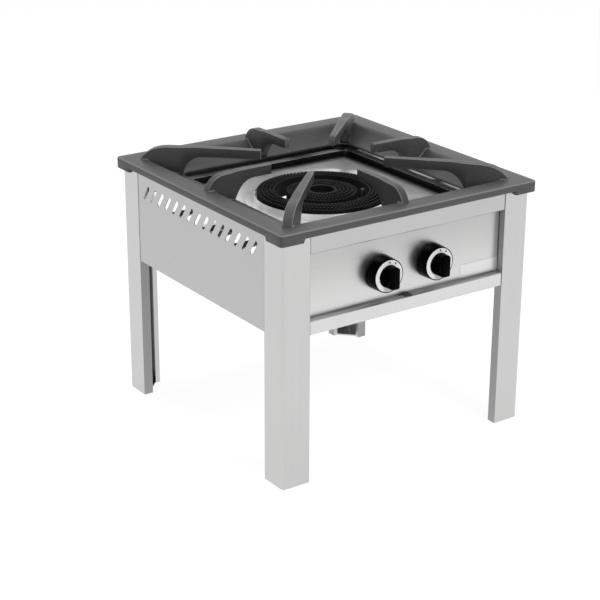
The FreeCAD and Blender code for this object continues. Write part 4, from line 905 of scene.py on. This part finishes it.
        # Painted highlight along the rim's rounded outer top edge.
        edge_highlight = [[1.0 if edge_ring < i < edge_ring + 5 else 0.0] * len(ring)
                for i, ring in enumerate(rings)]
        return rings, edge_highlight

    def ground(self, finger: Finger, out: float) -> float:
        """Height of the casting under a finger.

        Args:
            finger: The kind of finger.
            out: The distance from the burner's axis.

        Returns:
            The height there.
        """
        if not finger.diagonal:
            return self.cove_level(out)
        return self.cove_level((out + self.mouth_corner * 0.36) / math.sqrt(2))

    def finger_lines(self, finger: Finger) -> list[tuple[float, float, float]]:
        """The side view of a finger.

        Args:
            finger: The kind of finger.

        Returns:
            Distance, upper level and lower level of each station, from the tip outwards.
        """
        base, slope, foot = finger.base, finger.slope, finger.foot
        flat, high = self.finger_top, self.finger_top - self.fall
        root = self.top - (self.top - self.under) / 2
        crest = base - slope
        settle = crest - slope * 0.8
        under = flat - self.tip_height
        sole = self.top - self.drop - self.shell / 2
        # Level from the tip, a slight fall to the crest, then down to the root on the rim.
        upper = [(self.tip, flat), *cubic(((settle, flat), (settle + slope * 0.2, flat),
                                           (crest - slope * 0.35, high), (crest, high)), 8),
                 *cubic(((crest, high), (base - slope * 0.46, high),
                         (base - slope * 0.19, high - self.arch * 0.23), (base, root)), 24)[1:]]
        # Level under the tip, then down along the arch to the foot on the cove.
        lower = [(self.tip, under), *cubic(((foot - self.arch, under),
                                            (foot - self.arch * 0.5, under),
                                            (foot - self.arch * 0.18, under - self.arch * 0.35),
                                            (foot, sole)), 14)]
        stations = sorted({round(out, 3) for out, _ in upper + lower if out <= base - 0.4}
                          | {self.tip + step for step in (0.3, 0.9, 20.0, 35.0)}
                          | {foot + step for step in (2.0, 6.0, 12.0, 20.0, 28.0)}
                          | {base - 0.4})
        rows = []
        for out in stations:
            top = level_at(upper, out)
            low = level_at(lower, out) if out < foot else self.ground(finger, out) - self.shell / 2
            rows.append((out, top, min(low, top - 1.0)))
        return rows

    def finger_rings(self, finger: Finger) -> tuple[list[Ring], list[list[float]]]:
        """Cross sections of a finger with soft edges and a casting fillet at its foot.

        Args:
            finger: The kind of finger.

        Returns:
            The sections and how strong the painted highlight is at each of their points.
        """
        rings, edge_highlight = [], []
        crest = finger.base - finger.slope
        for out, high, low in self.finger_lines(finger):
            share = min(1.0, max(0.0, (out - self.tip) / (crest - self.tip)))
            half = (self.tip_width + (finger.width - self.tip_width) * share) / 2
            inset = {0.0: 1.0, 0.3: 0.35}.get(round(out - self.tip, 2), 0.0)
            high, low, half = high - inset, low + inset, half - inset
            flare = self.flare * min(1.0, max(0.0, (out - finger.foot - 1.0) / 7.0))
            soft = min(self.edge, (high - low) * 0.24, half * 0.4)
            seam = max(low + 0.5, min(self.ground(finger, out), high - soft - 0.4))
            fillet = min(flare, max(0.0, high - soft - seam - 0.2))
            # Painted highlight of one side's points, from the middle of the top to that of the
            # underside.
            highlit = [0.0, 0.0, 1.0, 1.0, 1.0] + [0.0] * 7
            if fillet > 0.01:
                highlit[7:9] = [0.6, 0.6]
                side = [(half, high - soft), (half, seam + fillet),
                        (half + fillet * 0.12, seam + fillet * 0.45),
                        (half + fillet * 0.45, seam + fillet * 0.12),
                        (half + fillet, seam - 0.15), (half + fillet * 0.6, low)]
            else:
                belly = min(1.2, (high - low) * 0.2)
                side = [(half, high - soft), (half, (high + low) / 2), (half, low + belly),
                        (half - belly * 0.3, low + belly * 0.3), (half - belly, low),
                        (half * 0.5, low)]
            crown = [(0.0, high), (half - soft, high), (half - soft * 0.62, high - soft * 0.08),
                     (half - soft * 0.29, high - soft * 0.29),
                     (half - soft * 0.08, high - soft * 0.62)]
            right = crown + side + [(0.0, low)]
            left = [(-y, z) for y, z in reversed(right[1:-1])]
            rings.append([(out, y, z) for y, z in right + left])
            # Painted highlight on the tip's end face.
            tip = 0.5 if out < self.tip + 0.1 else 0.0
            edge_highlight.append([max(tip, share) for share in highlit + highlit[-2:0:-1]])
        return rings, edge_highlight

    def build(self) -> None:
        """Builds the rim and the fingers in place of the CAD casting."""
        rim = Weave()
        rings, edge_highlight = self.rim_rings()
        rim.skin(rings, closed=True, edge_highlight=edge_highlight)
        body = mesh_piece("pan_support_rim", rim.points, rim.faces, self.finishes.enamel,
                          self.crease, rim.edge_highlight)
        fingers = Weave()
        root2 = math.sqrt(2)
        rim_inner = self.half - self.rim
        corner_mouth = self.mouth * root2 - self.mouth_corner * (root2 - 1)
        kinds = (Finger(rim_inner + self.seat, self.middle_slope, self.mouth + self.foot,
                        self.middle_width, False),
                 Finger(rim_inner * root2 + self.seat * 0.7, self.corner_slope,
                        corner_mouth + self.foot, self.corner_width, True))
        for finger in kinds:
            rings, edge_highlight = self.finger_rings(finger)
            for quarter in range(4):
                start = math.pi / 4 if finger.diagonal else 0.0
                turn = Matrix.Rotation(start + math.pi / 2 * quarter, 3, "Z")
                fingers.skin([[tuple(turn @ Vector(p)) for p in ring] for ring in rings],
                             edge_highlight=edge_highlight)
        arms = mesh_piece("pan_support_fingers", fingers.points, fingers.faces,
                          self.finishes.enamel, self.crease, fingers.edge_highlight)
        for piece in (body, arms):
            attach(piece, "pan_support_body")
            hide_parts("pan_support")
            log.info("built %s with %d faces", piece.name, len(piece.data.polygons))


# ------------------------------------------------------------------ burner crowns
@dataclass
class Crown:
    """Cast crown with stepped ridges and rows of flame ports. Sizes in millimetres."""

    finishes: Finishes
    node: str
    outer: float
    inner: float
    teeth: int
    swirl: float
    seat: float = 453.0
    top: float = 465.0
    ridge: float = 5.5
    groove: float = 2.5
    step: float = 3.0
    valley: float = 2.0
    spigot: float = 3.0
    gap: float = 4.4
    port_depth: float = 2.6
    crease: float = 38.0

    def stations(self) -> list[tuple[float, float, float | None, float]]:
        """The section round the crown.

        Returns:
            Radius, level, level of the port's floor, if it has one, and stagger of each station.
        """
        height = self.top - self.seat
        pitch = self.ridge + self.groove
        ridges = int((self.outer - self.inner) // pitch)
        floor = height - self.step - self.valley
        rows = [(self.outer, 0.0, None, 0.0)]
        for k in range(ridges):
            drop = self.step if k == 0 else self.step / 3 if k == 1 else 0.0
            edge, crest = self.outer - pitch * k, height - drop
            stagger = 0.5 * (k % 2) if not self.swirl else 0.0
            port = max(floor, crest - self.port_depth)
            low = 0.0 if k == 0 else floor
            if k:
                rows.append((edge, low, None, stagger))
            rows += [(edge, (low + crest) / 2, port, stagger),
                     (edge, crest - 0.5, port, stagger),
                     (edge - 0.5, crest, port, stagger),
                     (edge - self.ridge / 2, crest + 0.25, port, stagger),
                     (edge - self.ridge + 0.5, crest, port, stagger),
                     (edge - self.ridge, crest - 0.5, port, stagger),
                     (edge - self.ridge, floor, None, stagger)]
        lip = self.outer - pitch * ridges
        closed = ((lip, floor), (lip, height - 1.4), (lip - 0.5, height - 1.0),
                  (self.inner + 0.8, height - 1.0), (self.inner, height - 1.8), (self.inner, 0.0),
                  (self.inner + self.gap, 0.0), (self.inner + self.gap, -self.spigot),
                  (self.outer - self.gap, -self.spigot), (self.outer - self.gap, 0.0))
        return rows + [(radius, level, None, 0.0) for radius, level in closed]

    def build(self) -> None:
        """Builds the crown in place of the CAD casting."""
        lean = math.radians(self.swirl)
        # Shares of one tooth's turn, and whether each lies in its port.
        shares = ((0.0, False), (0.27, False), (0.54, False), (0.575, True), (0.965, True))
        rings = []
        for radius, level, port, stagger in self.stations():
            ratio = min(1.0, self.outer * math.sin(lean) / radius)
            twist = math.asin(ratio) - lean if self.swirl else 0.0
            ring = []
            for tooth in range(self.teeth):
                for share, in_port in shares:
                    angle = 2 * math.pi * (tooth + share + stagger) / self.teeth + twist
                    z = level if port is None or not in_port else min(level, port)
                    ring.append((radius * math.cos(angle), radius * math.sin(angle),
                                 self.seat + z))
            rings.append(ring)
        weave = Weave()
        weave.skin(rings, closed=True)
        piece = mesh_piece(f"{self.node}_casting", weave.points, weave.faces,
                           self.finishes.burner, self.crease)
        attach(piece, f"{self.node}_body")
        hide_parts(self.node)
        log.info("built %s with %d faces", piece.name, len(weave.faces))


# ------------------------------------------------------------------ knobs
@dataclass
class Knob:
    """Turning knob with its dial ring and marks. Sizes in millimetres."""

    finishes: Finishes
    side: str
    x: float
    level: float = 384.0
    face: float = 302.0
    skirt: float = 22.0
    radius: float = 33.0
    flare: float = 1.5
    dial_outer: float = 31.0
    dial_inner: float = 22.0
    dial_thick: float = 1.0
    boss: float = 1.5
    grip_length: float = 42.0
    grip_width: float = 19.0
    grip_height: float = 23.0
    hub: float = 9.0
    bore: float = 4.1
    bore_depth: float = 18.0
    shell: float = 2.5
    web: float = 6.0
    ribs: int = 4
    rib_pitch: float = 3.7
    dot: float = 1.9
    dot_ring: float = 27.0
    dot_degrees: Pair = (2.0, 33.0)
    segments: int = 96
    crease: float = 35.0

    def outward(self, points: Iterable[Point]) -> list[Point]:
        """Turns local points, whose Z is the knob's axis, to the front of the panel."""
        return [(self.x + u, -self.face + self.skirt - w, self.level + v) for u, v, w in points]

    def skirt_path(self) -> list[Pair]:
        """The section of the turned part of the knob.

        Returns:
            Radius and height of its points.
        """
        seat, hollow = self.skirt - self.dial_thick, self.skirt - self.web
        wide, outer, inner = self.radius + self.flare, self.dial_outer + 0.1, self.dial_inner - 0.1
        crown = self.skirt + self.boss
        return softened((
            (self.bore, self.bore_depth, 0), (self.bore, 0.0, 0.3), (self.hub, 0.0, 0.5),
            (self.hub, hollow, 1.0), (self.radius - self.shell, hollow, 1.5),
            (wide - self.shell, 0.0, 0.4), (wide, 0.0, 0.8), (self.radius, self.skirt, 1.6),
            (outer, self.skirt, 0.3), (outer, seat, 0), (inner, seat, 0),
            (inner, crown, 1.6), (3.0, crown, 0)), 5)

    def grip_rings(self) -> list[Ring]:
        """Cross sections of the grip bar.

        Returns:
            The sections, from its foot to its front.
        """
        rings = []
        top = self.skirt + self.grip_height
        low = self.skirt + self.boss - 0.3
        # Rows of a level, how far the grip's sides stand out there, and its corners' radius.
        foot = ((low, 1.3, 4.5), (low + 0.5, 0.5, 4.2), (low + 1.6, 0.1, 4.0))
        ribs = tuple((low + self.rib_pitch * (k + 1) + at, grow, 4.0)
                     for k in range(self.ribs)
                     for at, grow in ((0.0, 0.0), (0.5, -0.6), (1.1, -0.6), (1.6, 0.0)))
        shape = foot + ribs + ((top - 2.6, -0.4, 3.8), (top - 1.3, -0.8, 3.6),
                               (top - 0.45, -1.6, 3.2), (top, -2.8, 2.6))
        for level, grow, corner in shape:
            half_x, half_y = self.grip_width / 2 + grow, self.grip_length / 2 + grow
            limit = self.dial_inner - 0.3
            ring = []
            for quarter, (sx, sy) in enumerate(((1, 1), (-1, 1), (-1, -1), (1, -1))):
                for i in range(7):
                    angle = math.pi / 2 * (quarter + i / 6)
                    u = (half_x - corner) * sx + corner * math.cos(angle)
                    v = (half_y - corner) * sy + corner * math.sin(angle)
                    reach = math.hypot(u, v)
                    pull = min(1.0, limit / reach)
                    ring.append((u * pull, v * pull, level))
            rings.append(ring)
        return rings

    def dots(self) -> Weave:
        """The marks on the dial ring, at the top and a turn further clockwise.

        Returns:
            Their vertices and faces.
        """
        weave = Weave()
        for degrees in self.dot_degrees:
            angle = math.radians(90 - degrees)
            centre = (self.dot_ring * math.cos(angle), self.dot_ring * math.sin(angle))
            # Radius of each ring and how far it stands out of the dial.
            rings = []
            for radius, lift in ((self.dot, -0.02), (self.dot - 0.05, 0.1),
                                 (self.dot * 0.7, 0.14), (self.dot * 0.3, 0.15)):
                rings.append([(centre[0] + radius * math.cos(2 * math.pi * i / 20),
                               centre[1] + radius * math.sin(2 * math.pi * i / 20),
                               self.skirt + lift) for i in range(20)])
            weave.skin(rings)
        return weave

    def build(self) -> None:
        """Builds the knob in place of the CAD moulding."""
        turned, grip = Weave(), Weave()
        turned.skin(lathe(self.skirt_path(), self.segments))
        grip.skin(self.grip_rings())
        ring = Weave()
        dial = softened(((self.dial_inner, self.skirt - self.dial_thick, 0),
                         (self.dial_inner, self.skirt, 0.25), (self.dial_outer, self.skirt, 0.25),
                         (self.dial_outer, self.skirt - self.dial_thick, 0)), 3)
        ring.skin(lathe(dial, self.segments), closed=True)
        for part, weave, finish, slot, node in (
                ("skirt", turned, self.finishes.knob, "knob_plastic", f"knob_{self.side}"),
                ("grip", grip, self.finishes.knob, "knob_plastic", f"knob_{self.side}"),
                ("dial", ring, self.finishes.dial, "dial_plastic", f"dial_ring_{self.side}"),
                ("dots", self.dots(), self.finishes.mark, "knob_plastic", None)):
            faces = [tuple(reversed(face)) for face in weave.faces]
            piece = mesh_piece(f"knob_{self.side}_{part}", self.outward(weave.points), faces,
                               finish, self.crease)
            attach(piece, f"knob_{self.side}_body")
            if node:
                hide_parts(node)
            log.info("built %s", piece.name)


# ------------------------------------------------------------------ carried-over sheet and gas parts
@dataclass
class CarriedOver:
    """CAD nodes whose shape stays and whose finish is set here."""

    finishes: Finishes

    def of_slot(self, slot: str) -> bpy.types.Material:
        """The finish of one of the record's material slots.

        Args:
            slot: The slot's name.

        Returns:
            Its material.
        """
        finishes = self.finishes
        return {
            "plate_aluminium": finishes.plate, "tray_steel": finishes.tray,
            "zinc_steel": finishes.zinc, "burner_iron": finishes.burner,
            "grate_iron": finishes.enamel, "tap_brass": finishes.brass,
            "tube_aluminium": finishes.tube, "pipe_paint": finishes.pipe,
            "bolt_steel": finishes.bright, "knob_plastic": finishes.knob,
            "dial_plastic": finishes.dial}[slot]

    def finish_of(self, node: str) -> bpy.types.Material:
        """The finish of a node, by the start of its name or else by its slot.

        Args:
            node: The node's name.

        Returns:
            Its material.
        """
        finishes = self.finishes
        if node in ("pilot_burner", "thermocouple", "pilot_bracket", "pipe_clip_front"):
            return finishes.soot
        for start, finish in (
                ("leg_foot", finishes.plain), ("leg_", finishes.leg),
                ("side_panel", finishes.side), ("upper_rail", finishes.shaded_rail),
                ("lower_rail_front", finishes.lit_lower_rail), ("lower_rail_rear", finishes.plain),
                ("control_panel", finishes.panel)):
            if node.startswith(start):
                return finish
        slots = {part["node"]: part["material_slot"] for part in frame["record"]["subparts"]}
        return self.of_slot(slots[node])

    def dress(self) -> None:
        """Gives every CAD node its finish."""
        for name, piece in frame["nodes"].items():
            material = self.finish_of(name)
            if piece.material_slots:
                for place in piece.material_slots:
                    place.link = "OBJECT"
                    place.material = material
            else:
                piece.data.materials.append(material)
        log.info("dressed %d nodes", len(frame["nodes"]))


# ------------------------------------------------------------------ studio
@dataclass
class Studio:
    """Pale floor, soft lamps, white surroundings and the camera. Sizes in metres."""

    aim: Point = (0.0, 0.0, 0.4)
    white: Colour = (1.0, 1.0, 1.0)
    sky: Colour = (0.94, 0.97, 1.0)
    sky_level: float = 0.34
    floor_half: float = 9.0
    floor_level: float = -0.0006
    floor_tone: float = 0.82
    floor_glow: float = 1.14
    floor_glow_share: float = 0.82
    card_tone: float = 0.04
    matt: float = 0.9
    camera_place: Point = (-1.82619, -2.56345, 1.45629)
    azimuth: float = -0.6055
    elevation: float = 0.3728
    roll: float = 0.0045
    focal_pixels: float = 1649.5
    frame_pixels: float = 600.0
    sensor_mm: float = 36.0
    view_end: float = 50.0

    def world(self) -> None:
        """White surroundings for the eye and for reflections, a plain level for the light."""
        world = bpy.data.worlds.new("studio")
        bpy.context.scene.world = world
        world.use_nodes = True
        nodes = Nodes(world.node_tree)
        light, white = (
            nodes.node("ShaderNodeBackground", None, {"Color": colour, "Strength": level})
            for colour, level in ((self.sky, self.sky_level), (self.white, 1.0)))
        nodes.show("World Output", light, white, nodes.seen())

    def plane(self, name: str, half: Pair, tone: float) -> tuple[bpy.types.Object, Paint]:
        """A flat matt sheet of the studio.

        Args:
            name: The sheet's name.
            half: Half its width and half its height.
            tone: How light it is.

        Returns:
            The sheet and its paint.
        """
        w, h = half
        mesh = bpy.data.meshes.new(name)
        mesh.from_pydata([(-w, -h, 0), (w, -h, 0), (w, h, 0), (-w, h, 0)], [], [(0, 1, 2, 3)])
        paint = Paint(name)
        mesh.materials.append(paint.dress(Base_Color=(tone,) * 3, Roughness=self.matt,
                                          Specular_IOR_Level=0.0))
        sheet = bpy.data.objects.new(name, mesh)
        bpy.context.scene.collection.objects.link(sheet)
        sheet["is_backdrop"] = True
        return sheet, paint

    def floor(self) -> None:
        """Pale floor that keeps the object's shadow."""
        sheet, paint = self.plane("floor", (self.floor_half, self.floor_half), self.floor_tone)
        sheet.location.z = self.floor_level
        glow = paint.node("ShaderNodeEmission", None,
                          {"Color": self.white, "Strength": self.floor_glow})
        paint.show("Material Output", Wire(paint, paint.shader.outputs[0]), glow,
                   paint.seen() * self.floor_glow_share)

    def face(self, thing: bpy.types.Object, place: Point) -> None:
        """Puts a lamp or card in its place and turns it to the range.

        Args:
            thing: The lamp or card.
            place: Where it stands.
        """
        thing.location = place
        thing.rotation_mode = "QUATERNION"
        thing.rotation_quaternion = (Vector(self.aim) - Vector(place)).to_track_quat("-Z", "Y")

    def lamp(self, name: str, place: Point, side: float, watts: float, mirrored: bool) -> None:
        """A square soft lamp.

        Args:
            name: The lamp's name.
            place: Where it stands.
            side: Its width and height.
            watts: Its power.
            mirrored: Whether metal and gloss show it.
        """
        data = bpy.data.lights.new(name, "AREA")
        data.size = side
        data.energy = watts
        lamp = bpy.data.objects.new(name, data)
        lamp.visible_glossy = mirrored
        self.face(lamp, place)
        bpy.context.scene.collection.objects.link(lamp)

    def card(self, name: str, place: Point, half: Pair) -> None:
        """A dark studio card that only the metal sees.

        Args:
            name: The card's name.
            place: Where it stands.
            half: Half its width and half its height.
        """
        sheet, _ = self.plane(name, half, self.card_tone)
        sheet.visible_camera = False
        self.face(sheet, place)

    def camera(self) -> None:
        """The camera at the photograph's place."""
        data = bpy.data.cameras.new("camera")
        data.sensor_width = self.sensor_mm
        data.lens = self.focal_pixels / self.frame_pixels * self.sensor_mm
        data.clip_end = self.view_end
        camera = bpy.data.objects.new("camera", data)
        back = Vector((math.sin(self.azimuth) * math.cos(self.elevation),
                       -math.cos(self.azimuth) * math.cos(self.elevation),
                       math.sin(self.elevation)))
        right = (-back).cross(Vector((0, 0, 1))).normalized()
        up = right.cross(-back)
        turned_right = right * math.cos(self.roll) + up * math.sin(self.roll)
        turned_up = up * math.cos(self.roll) - right * math.sin(self.roll)
        axes = Matrix((turned_right, turned_up, back)).transposed()
        camera.matrix_world = Matrix.Translation(self.camera_place) @ axes.to_4x4()
        bpy.context.scene.collection.objects.link(camera)
        bpy.context.scene.camera = camera

    def build(self) -> None:
        """Builds the studio."""
        bpy.context.scene.view_settings.view_transform = "Standard"
        self.world()
        self.floor()
        self.lamp("key", place=(0.2, -2.6, 2.1), side=0.8, watts=44.0, mirrored=True)
        self.lamp("top", place=(0.0, 0.3, 2.9), side=1.8, watts=50.0, mirrored=False)
        self.card("camera_side", place=(0.4, -3.4, 2.9), half=(3.5, 1.8))
        self.camera()
        log.info("studio is ready")


def corners() -> list[list[float]]:
    """The shown object's lowest and highest corner, as plain numbers."""
    return [list(corner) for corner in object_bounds()]


def main() -> None:
    """Builds every sub-assembly in order."""
    logging.basicConfig(level=logging.INFO, format="%(name)s: %(message)s")
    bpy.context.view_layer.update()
    finishes = Finishes()
    CarriedOver(finishes).dress()
    PanSupport(finishes).build()
    Crown(finishes, "outer_crown", outer=130.0, inner=95.0, teeth=100, swirl=24.0).build()
    Crown(finishes, "inner_crown", outer=71.0, inner=25.0, teeth=56, swirl=0.0).build()
    Knob(finishes, "left", x=-60.0).build()
    Knob(finishes, "right", x=60.0).build()
    Studio().build()


if __name__ == "__main__":
    main()
